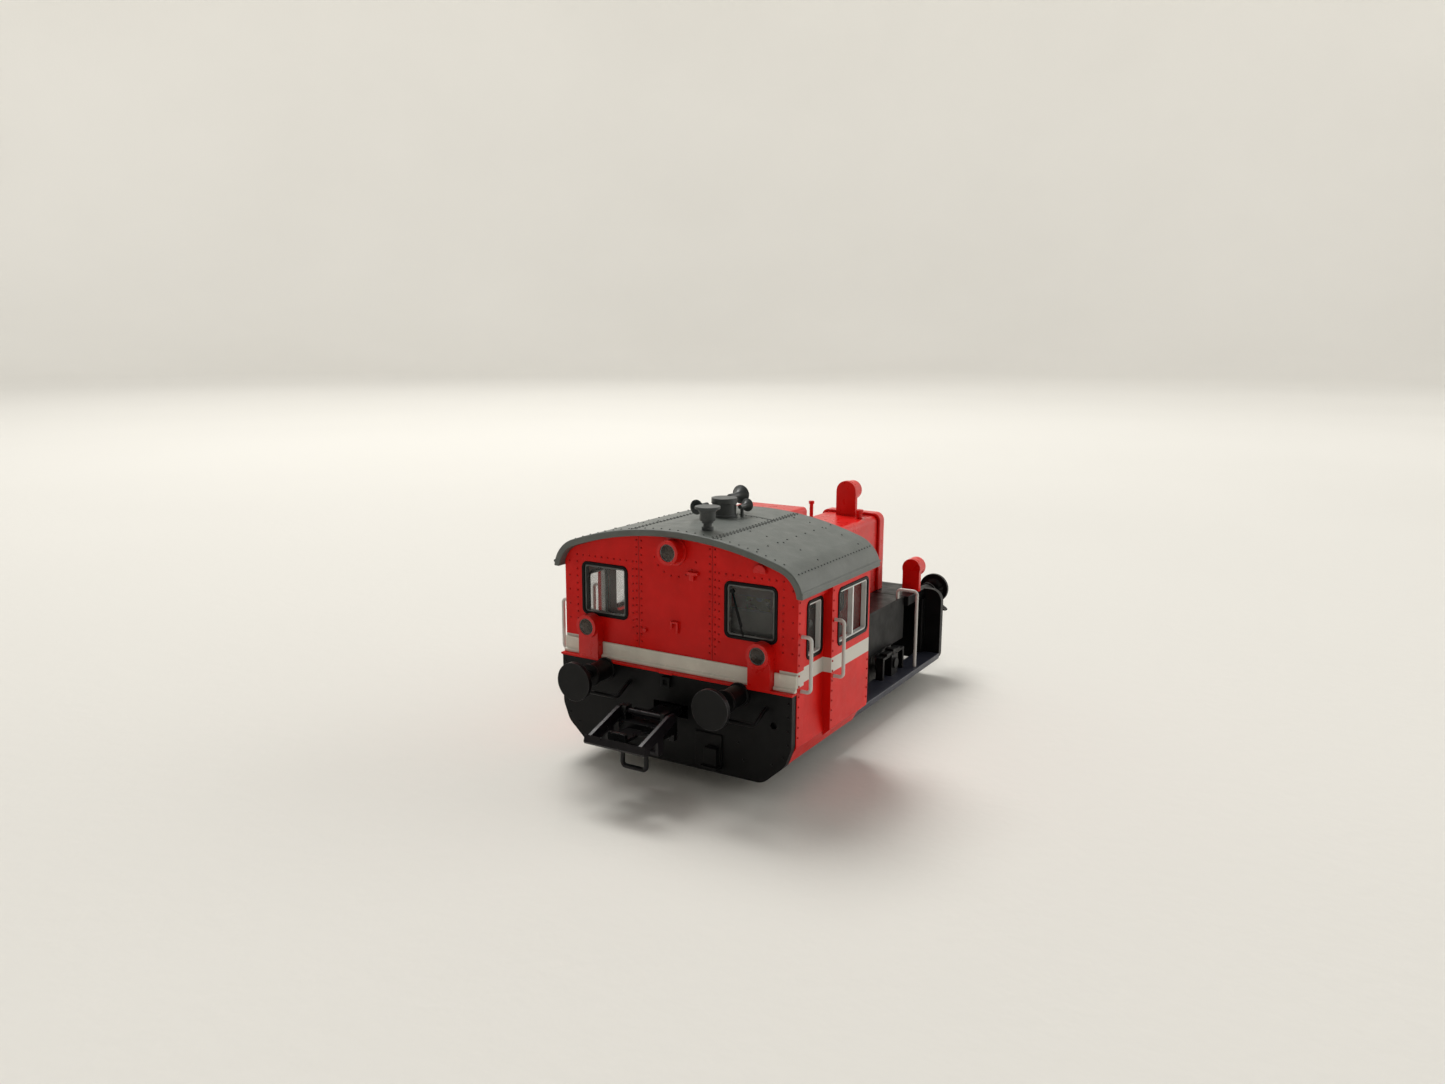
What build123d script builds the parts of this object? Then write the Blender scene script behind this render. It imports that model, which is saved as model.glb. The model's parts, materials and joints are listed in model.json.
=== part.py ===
from build123d import *
import math
import os

# Two-axle diesel shunting locomotive at 1:87, in millimetres.
# +X runs from the cab end to the hood end, +Y is the left side, +Z is up.
# The origin is midway between the ends, on the surface that the wheel flanges stand on.

# ---------------------------------------------------------------- track and wheels
flange_depth = 1.0                    # wheel flange below the rail top
rail = flange_depth                   # height of the rail top
tread_radius = 4.9
wheelbase = 28.74
back_to_back = 14.3                   # between the inner faces of a wheel pair
tyre_width = 2.5
flange_width = 0.7
axle_radius = 1.0
axle_z = rail + tread_radius
axle_x = wheelbase / 2
wheel_inner_y = back_to_back / 2
wheel_outer_y = wheel_inner_y + tyre_width

# ---------------------------------------------------------------- clearances
running = 0.05                        # radial, between a shaft and its bearing
seat = 0.03                           # between fixed pieces that push together
side_play = 0.2                       # along a shaft, between a wheel or gear and the frame

# ---------------------------------------------------------------- frame
beam_x = 30.06                        # outer face of both buffer beams
beam_thickness = 1.06
frame_end_x = beam_x - beam_thickness
frame_half_width = 6.0
deck_under_z = 13.2                   # top of the frame, underside of floor, tanks and platform
deck_z = rail + 13.7                  # top of the tanks and the platform
keeper_thickness = 1.0
keeper_half_width = 5.5
keeper_half_length = 19.5
brake_shaft_radius = 0.33             # of the cross shafts that pass under the keeper plate
frame_bottom_z = axle_z - axle_radius - running

# ---------------------------------------------------------------- gear train
module = 0.4
worm_axis_z = 19.0
worm_pitch_radius = 1.4
worm_turns = 4
worm_wheel_teeth = 20
pinion_teeth = 12
centre_idler_teeth = 18
side_idler_teeth = 20
axle_gear_teeth = 16
gear_plane_y = 1.6                    # middle of the spur gears
gear_face = 1.0
worm_wheel_face = 1.0
addendum = 0.75 * module
dedendum = 1.1 * module
backlash = 0.09                       # taken off each tooth, along the pitch circle
worm_backlash = 0.22                  # taken off the worm's thread, for the wheel's straight teeth
shaft_radius = 0.6
motor_shaft_radius = 0.5

# ---------------------------------------------------------------- motor
motor_radius = 4.0
motor_rear_x = 9.2
worm_bracket_x = -5.9                 # middle of the bearing block at the shaft's far end
motor_length = 11.0
motor_wall = 0.7
motor_flat = 3.4                      # from the motor axis to the flats on top and bottom

# ---------------------------------------------------------------- cab
cab_rear_x = -frame_end_x
cab_front_x = -9.59
cab_wall = 0.85
cab_pillar_y = 17.4                   # outer face of the corner pillars
cab_panel_y = 18.08                   # outer face of the panels in front of the doors
cab_panel_rear_x = cab_rear_x + 7.9
panel_corner = 1.8                    # radius of the side panels' lower front corners
cab_door_rear_x = cab_rear_x + 1.7
cab_door_y = 16.9                     # outer face of the recessed doors
cab_inner_y = 16.05
cab_side_bottom_z = rail + 6.2
cab_sill_y = 16.0
cab_sill_z = rail + 3.6
cab_floor_cut_y = cab_sill_y - 0.8     # inner face of the bevelled foot of the side walls
cab_floor_thickness = 0.8
eave_z = rail + 24.86

# ---------------------------------------------------------------- cab roof
roof_rear_x = cab_rear_x - 1.1
roof_front_x = cab_front_x + 2.39
roof_half_width = 18.5
roof_top_z = eave_z + 6.44
roof_corner_radius = 4.5
roof_rise = 1.3                       # of the crown arc over half the crown chord
roof_crown_chord = 10.95
roof_thickness = 0.85

# ---------------------------------------------------------------- cab windows
end_window_inner_y = 7.2
end_window_width = 7.45
end_window_bottom_z = rail + 18.6
end_window_height = 7.2
window_corner = 0.9
side_window_rear_x = cab_panel_rear_x + 1.6
side_window_width = 9.3
side_window_bottom_z = rail + 16.6
side_window_height = 7.6
door_window_rear_x = cab_door_rear_x + 1.5
door_window_width = 4.5
door_window_bottom_z = rail + 16.2
door_window_height = 7.5
rubber_width = 0.4
rubber_proud = 0.12
metal_frame_width = 0.2
pane_thickness = 0.4

# ---------------------------------------------------------------- rear beam
rear_beam_half_width = 17.3
rear_beam_top_z = rail + 12.95
rear_beam_bottom_z = rail + 1.2
rear_beam_corner = 2.2                # of the bends in the swept lower corners
rear_hole_y = 14.86
rear_hole_z = rail + 8.9
ledge_thickness = 0.25
ledge_proud = 0.24                    # of the red ledge, past the rear beam

# ---------------------------------------------------------------- hood
hood_half_width = 4.8
hood_wall = 0.65
hood_rear_x = cab_front_x + seat
hood_front_x = frame_end_x - 4.0
hood_top_z = rail + 26.0
hood_corner = 1.0
cowl_front_x = cab_front_x + 7.09
cowl_half_width = 5.0
cowl_top_z = roof_top_z - 0.3
cowl_corner = 0.6
surround_length = 1.8
surround_proud = 0.45
grille_half_width = 3.5
grille_bottom_z = rail + 15.5
grille_height = 9.0

# ---------------------------------------------------------------- tanks, boards, front beam
tank_inner_y = hood_half_width + 0.08
tank_outer_y = 10.5
tank_skin = 0.5
tank_rear_x = cab_front_x + 0.2
tank_front_x = hood_front_x - 3.0
tank_bottom_z = rail + 6.8
wheel_well_clearance = 0.35
board_inner_y = tank_outer_y
board_outer_y = 14.2
board_top_z = rail + 3.0
board_thickness = 0.9
front_beam_half_width = 14.18
front_beam_bottom_z = rail + 1.6
front_beam_corner = 1.9
platform_half_width = 11.2

# ---------------------------------------------------------------- buffers
buffer_y = 10.05
buffer_z = rail + 12.07
buffer_face_x = beam_x + 6.99
buffer_head_radius = 2.5
buffer_head_thickness = 0.6
sleeve_radius = 1.3
sleeve_bore = 1.0
sleeve_rim = 0.2                      # of the bands at the sleeve's ends, past the sleeve
sleeve_front_x = beam_x + 3.74
sleeve_lip = 0.7
shank_radius = 0.5
collar_radius = 0.92
collar_length = 0.4
spring_wire_radius = 0.1
spring_coils = 4

# ---------------------------------------------------------------- couplers
pivot_x = frame_end_x - 3.5
drawbar_z = rail + 8.3
drawbar_thickness = 1.2
drawbar_half_width = 1.3
drawbar_eye_radius = 1.6
pivot_pin_radius = 0.8
head_rear_x = beam_x + 3.34
head_front_x = beam_x + 6.94
head_half_width = 3.2
bow_pivot_x = beam_x + 5.54
bow_pivot_z = rail + 9.3
bow_pin_radius = 0.35
bow_front_x = beam_x + 12.24
bow_bar_half_width = 4.4
bow_arm_inner_y = 3.45
bow_arm_thickness = 0.45
coupler_swing = 10.0                  # degrees each way

# ---------------------------------------------------------------- lamps
lamp_radius = 1.55
lamp_bore = 1.12
lens_radius = 1.08
lens_thickness = 0.3
lens_stem_radius = 0.5
rear_lamp_y = 12.82
rear_lamp_z = rail + 17.42
rear_lamp_front_x = cab_rear_x - 1.75
lamp_pedestal_proud = 1.3
lamp_pedestal_half_width = 1.55
top_lamp_z = roof_top_z - 2.67
top_lamp_ring_radius = 2.2
front_lamp_y = 9.9
front_lamp_z = rail + 17.45
front_lamp_plate_x = frame_end_x - 3.0
front_lamp_front_x = frame_end_x - 0.4
lamp_plate_thickness = 0.8
lamp_back = 0.35                      # wall left behind the light guides of the hood end's lamps
hood_lamp_plate_x = hood_front_x - 3.5
hood_lamp_half_width = 1.72
hood_lamp_z = hood_top_z + 3.9
hood_lamp_front_x = hood_front_x - 0.6

# ---------------------------------------------------------------- roof fittings
vent_x = roof_rear_x + 3.7
vent_y = -3.2
vent_top_z = roof_top_z + 2.9
fan_x = roof_rear_x + 13.1
fan_radius = 1.73
fan_top_z = roof_top_z + 2.55

# ---------------------------------------------------------------- rails and grips
cab_rail_radius = 0.23
cab_rail_stand_off = 1.3
cab_rail_bend = 0.55
pillar_rail_x = cab_rear_x + 1.0
pillar_rail_bottom_z = rail + 13.1
pillar_rail_top_z = rail + 19.9
panel_rail_x = cab_panel_rear_x + 0.8
panel_rail_bottom_z = rail + 13.1
panel_rail_top_z = rail + 20.4
deck_rail_radius = 0.25
deck_rail_x = tank_front_x - 2.0
deck_rail_foot_y = 13.4
deck_rail_inner_y = 10.15
deck_rail_top_z = rail + 15.2
grip_radius = 0.25
grip_reach = 2.9
grip_half_width = 3.75

# ---------------------------------------------------------------- worked out
cab_floor_top_z = deck_under_z + cab_floor_thickness
keeper_bottom_z = frame_bottom_z - keeper_thickness
pedestal_bottom_z = rear_beam_top_z + ledge_thickness
wheel_top_z = axle_z + tread_radius + flange_depth
roof_crown_radius = (roof_crown_chord**2 + roof_rise**2) / (2 * roof_rise)
bearing_reach = hood_half_width - hood_wall - 0.1


# ---------------------------------------------------------------- helpers
def block(x0, x1, y0, y1, z0, z1):
    """Return a rectangular block between two corners."""
    middle = Pos((x0 + x1) / 2, (y0 + y1) / 2, (z0 + z1) / 2)
    return middle * Box(abs(x1 - x0), abs(y1 - y0), abs(z1 - z0))


def rod_x(x0, x1, y, z, radius):
    """Return a round rod along X."""
    return Pos((x0 + x1) / 2, y, z) * Rot(0, 90, 0) * Cylinder(radius, abs(x1 - x0))


def rod_y(y0, y1, x, z, radius):
    """Return a round rod along Y."""
    return Pos(x, (y0 + y1) / 2, z) * Rot(90, 0, 0) * Cylinder(radius, abs(y1 - y0))


def rod_z(z0, z1, x, y, radius):
    """Return a round rod along Z."""
    return Pos(x, y, (z0 + z1) / 2) * Cylinder(radius, abs(z1 - z0))


def prism_x(outline, x0, x1):
    """Carry an outline of (y, z) along X. The outline is a face or a list of points."""
    face = outline if isinstance(outline, (Sketch, Face)) else make_face(Polyline(*outline, close=True))
    return extrude(Plane.YZ.offset(x0) * face, x1 - x0)


def prism_y(points, y0, y1):
    """Carry an outline of (x, z) points along Y."""
    face = make_face(Polyline(*points, close=True))
    return extrude(Plane.XZ.offset(-y0) * face, -(y1 - y0))


def prism_z(points, z0, z1):
    """Carry an outline of (x, y) points along Z."""
    face = make_face(Polyline(*points, close=True))
    return extrude(Plane.XY.offset(z0) * face, z1 - z0)


def rounded(centre_u, centre_v, width, height, radius):
    """Return a rectangle with round corners as a flat face."""
    return Pos(centre_u, centre_v) * RectangleRounded(width, height, radius)


def wire_bar(points, bend, radius):
    """Return a round bar bent along a line of points."""
    path = FilletPolyline(*points, radius=bend)
    start = Plane(origin=path @ 0, z_dir=path % 0)
    return sweep(start * Circle(radius), path=path)


def both_sides(solid):
    """Return a solid and its mirror image on the other side of the locomotive."""
    return [solid, mirror(solid, about=Plane.XZ)]


def both_ends(solid):
    """Return a solid and its mirror image at the other end of the locomotive."""
    return [solid, mirror(solid, about=Plane.YZ)]


def solids_of(pieces):
    """Return every solid of a piece or a list of pieces."""
    items = pieces if isinstance(pieces, (list, tuple)) else [pieces]
    return [solid for item in items for solid in item.solids()]


def save(name, pieces):
    """Write one node, with its separate solids side by side."""
    export_step(Compound(children=solids_of(pieces)), f"parts/{name}.step")


# ---------------------------------------------------------------- wheels and axles
def wheel_profile(side):
    """Return the half section of a wheel as (y, radius) points, for one side."""
    inner = wheel_inner_y
    outer = wheel_outer_y
    flange = tread_radius + flange_depth
    dish = 0.45
    points = [
        (inner, axle_radius + seat / 2),
        (inner, flange),
        (inner + flange_width * 0.6, flange),
        (inner + flange_width, tread_radius + 0.15),
        (outer, tread_radius),
        (outer, tread_radius - 0.9),
        (outer - dish, tread_radius - 1.2),
        (outer - dish, axle_radius + 1.1),
        (outer, axle_radius + 0.8),
        (outer, axle_radius + seat / 2),
    ]
    return [(side * y, r) for y, r in points]


def wheel(x, side):
    """Return one wheel, turned about its axle."""
    face = make_face(Polyline(*[(r, y) for y, r in wheel_profile(side)], close=True))
    return Pos(x, 0, axle_z) * revolve(face, axis=Axis.Y)


def axle(x):
    """Return one plain axle whose ends stand just outside the wheels."""
    reach = wheel_outer_y + 0.2
    return rod_y(-reach, reach, x, axle_z, axle_radius)


def pitch_radius(teeth):
    """Return the pitch circle radius of a gear."""
    return module * teeth / 2


def involute(angle):
    """Return the involute function of a pressure angle in radians."""
    return math.tan(angle) - angle


def gear_outline(teeth, phase):
    """Return (x, z) points round an involute gear whose first tooth stands at an angle."""
    pressure = math.radians(20)
    pitch = pitch_radius(teeth)
    base = pitch * math.cos(pressure)
    tip = pitch + addendum
    root = pitch - dedendum
    half_tooth = math.pi / (2 * teeth) - backlash / (2 * pitch)
    flank = [max(root, base) + (tip - max(root, base)) * step / 3 for step in range(4)]
    points = []
    for tooth in range(teeth):
        middle = phase + tooth * 2 * math.pi / teeth
        for side, radii in ((-1, flank), (1, flank[::-1])):
            offsets = [
                half_tooth + involute(pressure) - involute(math.acos(min(1.0, base / r))) for r in radii
            ]
            curve = [(r, middle + side * offset) for r, offset in zip(radii, offsets)]
            foot = (root, middle + side * (half_tooth + involute(pressure)))
            points += [foot] + curve if side < 0 else curve + [foot]
    return [(r * math.cos(a), r * math.sin(a)) for r, a in points]


def gear(teeth, x, z, phase, y, face_width):
    """Return a solid toothed disc about an axis along Y."""
    points = [(x + u, z + v) for u, v in gear_outline(teeth, phase)]
    return prism_y(points, y - face_width / 2, y + face_width / 2)


def meshed_phase(teeth_a, phase_a, direction, teeth_b):
    """Return the phase of gear B that puts its gap on gear A's tooth.

    The direction is the angle from A's centre to B's.
    """
    return direction + math.pi + math.pi / teeth_b + (direction - phase_a) * teeth_a / teeth_b


def spur_centre(teeth_a, teeth_b):
    """Return the distance between two meshed gears."""
    return pitch_radius(teeth_a) + pitch_radius(teeth_b)


tower_z = worm_axis_z - worm_pitch_radius - pitch_radius(worm_wheel_teeth)
centre_idler_z = tower_z - spur_centre(pinion_teeth, centre_idler_teeth)
idler_reach = spur_centre(centre_idler_teeth, side_idler_teeth)
axle_gear_reach = spur_centre(side_idler_teeth, axle_gear_teeth)
line_dx = axle_x
line_dz = axle_z - centre_idler_z
line_length = math.hypot(line_dx, line_dz)
along = (idler_reach**2 - axle_gear_reach**2 + line_length**2) / (2 * line_length)
above = math.sqrt(idler_reach**2 - along**2)
side_idler_x = (along * line_dx - above * line_dz) / line_length
side_idler_z = centre_idler_z + (along * line_dz + above * line_dx) / line_length

# a gap of the worm wheel points straight up, at the thread's middle turn
worm_wheel_phase = math.pi / 2 + math.pi / worm_wheel_teeth
pinion_phase = -math.pi / 2
centre_idler_phase = meshed_phase(pinion_teeth, pinion_phase, -math.pi / 2, centre_idler_teeth)


def side_gears(side):
    """Return the (idler phase, axle gear phase) of the gears at one end."""
    to_idler = math.atan2(side_idler_z - centre_idler_z, side * side_idler_x)
    idler = meshed_phase(centre_idler_teeth, centre_idler_phase, to_idler, side_idler_teeth)
    to_axle = math.atan2(axle_z - side_idler_z, side * (axle_x - side_idler_x))
    return idler, meshed_phase(side_idler_teeth, idler, to_axle, axle_gear_teeth)


def geared_shaft(toothed, x, z, reach=frame_half_width - side_play):
    """Return toothed discs with the shaft they turn on, as one piece."""
    return toothed + rod_y(-reach, reach, x, z, shaft_radius)


def worm_wheel():
    """Return the worm wheel with its pinion, on a short shaft inside the hood."""
    toothed = gear(worm_wheel_teeth, 0, tower_z, worm_wheel_phase, 0, worm_wheel_face)
    y0 = worm_wheel_face / 2
    y1 = gear_plane_y + gear_face / 2
    toothed += gear(pinion_teeth, 0, tower_z, pinion_phase, (y0 + y1) / 2, y1 - y0)
    return geared_shaft(toothed, 0, tower_z, bearing_reach - side_play)


def axle_gear(side):
    """Return an axle's gear and its hub, pushed on the axle."""
    x = side * axle_x
    toothed = gear(axle_gear_teeth, x, axle_z, side_gears(side)[1], gear_plane_y, gear_face)
    hub = rod_y(-1.0, gear_plane_y + gear_face / 2, x, axle_z, axle_radius + 0.7)
    return toothed + hub - rod_y(-3, 4, x, axle_z, axle_radius + seat / 2)


def worm():
    """Return the worm: a core with one thread wound on it, bored for the motor shaft."""
    lead = math.pi * module
    length = lead * worm_turns
    thread_height = addendum + dedendum
    root = worm_pitch_radius - dedendum
    sunk = 0.05
    slope = math.tan(math.radians(20))
    thread_half = (lead / 2 - worm_backlash) / 2
    path = Helix(pitch=lead, height=length, radius=root - sunk)
    start = Plane(origin=path @ 0, x_dir=(1, 0, 0), z_dir=path % 0)
    outline = [
        (0, -thread_half - (dedendum + sunk) * slope),
        (thread_height + sunk, -thread_half + addendum * slope),
        (thread_height + sunk, thread_half - addendum * slope),
        (0, thread_half + (dedendum + sunk) * slope),
    ]
    section = start * make_face(Polyline(*outline, close=True))
    thread = Pos(0, 0, -length / 2) * sweep(section, path=path, is_frenet=True)
    core = Cylinder(root, length + 1.2) - Cylinder(motor_shaft_radius + seat / 2, length + 2)
    # the helix starts on local +X, which the turn below puts on the thread's lowest side
    return Pos(0, 0, worm_axis_z) * Rot(0, 90, 0) * (core + thread)


# ---------------------------------------------------------------- frame
def chassis():
    """Return the cast frame: a block between the wheels, slotted for gears and couplers."""
    half = frame_half_width
    body = block(-frame_end_x, frame_end_x, -half, half, frame_bottom_z, deck_under_z)
    gap = gear_face / 2 + side_play
    slot_top = side_idler_z + pitch_radius(side_idler_teeth) + addendum + 0.15
    slot_half = axle_x + pitch_radius(axle_gear_teeth) + 0.6
    body -= block(-slot_half, slot_half, gear_plane_y - gap, gear_plane_y + gap, 0, slot_top)
    tower_half = pitch_radius(worm_wheel_teeth) + 0.7
    wheel_gap = worm_wheel_face / 2 + side_play
    tower_bottom = tower_z - tower_half
    boss_top = tower_z + 1.3
    body += block(-1.7, 1.7, -bearing_reach, bearing_reach, deck_under_z - 0.5, boss_top)
    body -= block(-tower_half, tower_half, -wheel_gap, gear_plane_y + gap, tower_bottom, boss_top + 1)
    shafts = (0, tower_z), (0, centre_idler_z), (side_idler_x, side_idler_z), (-side_idler_x, side_idler_z)
    for x, z in shafts:
        body -= rod_y(-frame_half_width - 1, frame_half_width + 1, x, z, shaft_radius + running)
    for x in (-axle_x, axle_x):
        bore = axle_radius + running
        body -= rod_y(-frame_half_width - 1, frame_half_width + 1, x, axle_z, bore)
        body -= block(x - bore, x + bore, -frame_half_width - 1, frame_half_width + 1, 0, axle_z)
        body -= block(x - 2.1, x + 2.1, -1.3, gear_plane_y, 0, axle_z + 2.1)
    for side in (-1, 1):
        body -= coupler_pocket(side)
        body -= rod_z(0, deck_under_z - 0.9, side * pivot_x, 0, pivot_pin_radius + seat)
    for x, y in keeper_screw_places():
        body -= rod_z(frame_bottom_z - 1, frame_bottom_z + 3.4, x, y, 0.55)
    return body


def coupler_pocket(side):
    """Return the space that a drawbar swings in, open at the frame's end."""
    tall = drawbar_thickness / 2 + 0.25
    swing = math.tan(math.radians(coupler_swing + 2))
    half_at_pivot = drawbar_eye_radius + 0.3
    half_at_end = drawbar_half_width + (beam_x + 1 - pivot_x) * swing + 0.3
    points = [
        (side * pivot_x, -half_at_pivot),
        (side * (beam_x + 1), -half_at_end),
        (side * (beam_x + 1), half_at_end),
        (side * pivot_x, half_at_pivot),
    ]
    space = prism_z(points, drawbar_z - tall, drawbar_z + tall)
    return space + rod_z(drawbar_z - tall, drawbar_z + tall, side * pivot_x, 0, half_at_pivot)


def pivot_pins():
    """Return the two upright pins, in bores of the frame, that the drawbars turn on."""
    pin = rod_z(frame_bottom_z + 0.5, drawbar_z + 2.0, pivot_x, 0, pivot_pin_radius)
    return both_ends(pin)


def keeper_screw_places():
    """Return the (x, y) places of the four screws that hold the keeper plate."""
    return [(x, y) for x in (-10.9, 10.9) for y in (-3.3, 4.0)]


def keeper():
    """Return the plate that closes the axle slots from below."""
    plate = block(
        -keeper_half_length, keeper_half_length, -keeper_half_width, keeper_half_width,
        keeper_bottom_z, frame_bottom_z - seat,
    )
    slot = axle_x + pitch_radius(axle_gear_teeth) + 0.5
    gap = gear_face / 2 + side_play
    plate -= block(-slot, slot, gear_plane_y - gap, gear_plane_y + gap, 0, frame_bottom_z)
    for x in (-axle_x, axle_x):
        plate -= block(x - 2.1, x + 2.1, -1.3, gear_plane_y, 0, frame_bottom_z)
    for x, y in keeper_screw_places():
        plate -= rod_z(0, frame_bottom_z + 1, x, y, 0.6)
        plate -= rod_z(0, keeper_bottom_z + 0.55, x, y, 1.1)
    return plate


def keeper_screws():
    """Return four slotted screws under the keeper plate."""
    screws = []
    for x, y in keeper_screw_places():
        head = rod_z(keeper_bottom_z + 0.05, keeper_bottom_z + 0.5, x, y, 1.0)
        slot = block(x - 1.2, x + 1.2, y - 0.13, y + 0.13, keeper_bottom_z, keeper_bottom_z + 0.25)
        screws.append(head + rod_z(keeper_bottom_z + 0.3, frame_bottom_z + 3.2, x, y, 0.5) - slot)
    return screws


def current_wipers():
    """Return four springy strips that run from the frame to the backs of the wheels."""
    strips = []
    base_y = frame_half_width + seat
    tip_y = wheel_inner_y - 0.1
    thickness = 0.15
    for end in (-1, 1):
        line = [(3.6, base_y), (6.2, base_y), (9.4, tip_y - thickness), (11.6, tip_y - thickness)]
        back = [(x, y + thickness) for x, y in line[::-1]]
        strip = prism_z([(end * x, y) for x, y in line + back], axle_z + 1.6, axle_z + 2.6)
        strips += both_sides(strip)
    return strips


def rear_beam():
    """Return the black plate under the cab's end wall, with its lower corners swept away."""
    half = rear_beam_half_width
    side = [(half - 3.9, rear_beam_bottom_z), (half - 0.9, rail + 3.9), (half, rail + 6.3)]
    mirrored = [(-y, z) for y, z in side[::-1]]
    top = [(half, rear_beam_top_z), (-half, rear_beam_top_z)]
    outline = make_face(Polyline(*side, *top, *mirrored, close=True))
    rounded_off = outline.vertices().sort_by(Axis.Y)[:6]
    outline = fillet(rounded_off, rear_beam_corner)
    plate = prism_x(outline, -beam_x, -frame_end_x)
    for y in (-rear_hole_y, rear_hole_y):
        plate -= rod_x(-beam_x - 1, -beam_x + 0.6, y, rear_hole_z, 0.45)
    return plate - beam_holes(-1)


def front_beam():
    """Return the black plate across the hood end, with all four corners rounded off."""
    half = front_beam_half_width
    low = front_beam_bottom_z
    plain = Rectangle(2 * half, deck_z - low)
    outline = Pos(0, (deck_z + low) / 2) * fillet(plain.vertices().group_by(Axis.Y)[0], 1.4)
    upper = outline.vertices().sort_by(Axis.Y)[-2:]
    outline = fillet(upper, front_beam_corner)
    return prism_x(outline, frame_end_x, beam_x) - beam_holes(1)


def beam_holes(side):
    """Return what is cut from a beam: the drawbar's slot and the holes behind the buffers."""
    x0 = side * (frame_end_x - 1)
    x1 = side * (beam_x + 1)
    holes = coupler_pocket(side)
    for y in (-buffer_y, buffer_y):
        holes += rod_x(x0, x1, y, buffer_z, shank_radius + running)
    return holes


def beam_details():
    """Return the small brackets on the rear beam: socket, patch plate, step box, flange bolts."""
    face = -beam_x
    socket_z = rear_beam_top_z - 1.05
    socket = block(face - 0.55, face, -0.15, 1.15, socket_z - 0.65, socket_z + 0.65)
    socket -= block(face - 1, face - 0.25, 0.15, 0.85, socket_z - 0.35, socket_z + 0.35)
    patch = block(face - 0.25, face, -7.7, -3.8, rail + 1.9, rail + 6.3)
    step_box = block(face - 1.1, face - 0.25, -7.4, -5.6, rail + 2.4, rail + 4.7)
    step_box += block(face - 1.6, face - 0.25, -7.7, -5.3, rail + 2.0, rail + 2.45)
    return [socket, patch + step_box]


def running_board():
    """Return the left tread board, with its supports, from beam to beam."""
    low = board_top_z - board_thickness
    return block(-frame_end_x, frame_end_x, board_inner_y, board_outer_y, low, board_top_z)


def side_tank():
    """Return the left tank: a box along the frame, with a well over the front wheel."""
    body = block(tank_rear_x, tank_front_x, tank_inner_y, tank_outer_y, tank_bottom_z, deck_z)
    body -= block(
        tank_rear_x - 1, tank_front_x + 1, 0, frame_half_width + seat, 0, deck_under_z + seat
    )
    reach = tread_radius + flange_depth + wheel_well_clearance
    body -= block(
        axle_x - reach, axle_x + reach, 0, tank_outer_y - tank_skin, 0, wheel_top_z + wheel_well_clearance
    )
    inner_rear_reach = -axle_x + reach + 0.1
    body -= block(
        tank_rear_x - 1, inner_rear_reach, 0, tank_outer_y - tank_skin, 0, wheel_top_z + wheel_well_clearance
    )
    for end in (-1, 1):
        x0, x1 = sorted((end * 2.2, end * 8.6))
        body -= block(x0, x1, frame_half_width, wheel_inner_y + 0.2, 0, axle_z + 3.2)
    return body


def front_platform():
    """Return the plate across the frame between the hood and the front beam."""
    half = platform_half_width
    plate = block(tank_front_x + seat, frame_end_x - seat, -half, half, deck_under_z, deck_z)
    cut = hood_half_width + 0.06
    plate -= block(tank_front_x - 1, hood_front_x + seat, -cut, cut, 0, deck_z + 1)
    return plate


def platform_ribs():
    """Return the two upright posts behind the front beam."""
    rib = block(frame_end_x - 1.4, frame_end_x - seat, 10.6, 11.5, board_top_z + seat, deck_under_z - seat)
    return both_sides(rib)


def axlebox(x):
    """Return an axlebox with its leaf spring and guides, on the tread board."""
    y0 = board_inner_y + seat
    y1 = 12.3
    base = board_top_z
    box = block(x - 1.25, x + 1.25, y0, y1, base, axle_z + 1.4)
    cover = rod_y(y1 - 0.2, y1 + 0.3, x, axle_z, 0.85)
    spring = block(x - 3.9, x + 3.9, y0 + 0.4, y1 - 0.2, axle_z + 1.2, axle_z + 1.6)
    middle_leaf = block(x - 2.7, x + 2.7, y0 + 0.4, y1 - 0.2, axle_z + 1.5, axle_z + 1.95)
    buckle = block(x - 0.5, x + 0.5, y0 + 0.3, y1 - 0.1, axle_z + 1.1, axle_z + 2.2)
    hangers = [
        block(x + s * 3.9 - 0.3, x + s * 3.9 + 0.3, y0 + 0.4, y1 - 0.2, base, axle_z + 1.6) for s in (-1, 1)
    ]
    return box + cover + spring + middle_leaf + buckle + hangers[0] + hangers[1]


def brake_set(end):
    """Return one axle's brake: two shoes on a cross shaft, in front of the treads."""
    gap = 0.25
    inner = tread_radius + gap
    outer = inner + 1.0
    spread = [math.radians(a) for a in (12, 0, -12, -24)]
    arc = [(inner * math.cos(a), inner * math.sin(a)) for a in spread]
    back = [(outer * math.cos(a), outer * math.sin(a)) for a in spread[::-1]]
    outline = [(end * (axle_x - u), axle_z + v) for u, v in arc + back]
    shoe_y0 = wheel_inner_y + flange_width + 0.2
    shoe_y1 = wheel_outer_y - 0.15
    shaft_reach = outer + 0.35
    shaft_z = keeper_bottom_z - brake_shaft_radius - 2 * running
    shaft_x = axle_x - math.sqrt(shaft_reach**2 - (axle_z - shaft_z) ** 2)
    brake = rod_y(-shoe_y1, shoe_y1, end * shaft_x, shaft_z, brake_shaft_radius)
    for side in (-1, 1):
        brake += prism_y(outline, side * shoe_y0, side * shoe_y1)
        lever = [
            (end * (shaft_x - 0.3), shaft_z - 0.1),
            (end * (shaft_x - 0.3), axle_z + 0.6),
            (end * (shaft_x + 0.75), axle_z + 0.6),
            (end * (shaft_x + 0.75), shaft_z - 0.1),
        ]
        brake += prism_y(lever, side * (shoe_y0 + 0.3), side * (shoe_y1 - 0.3))
    return brake


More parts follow.
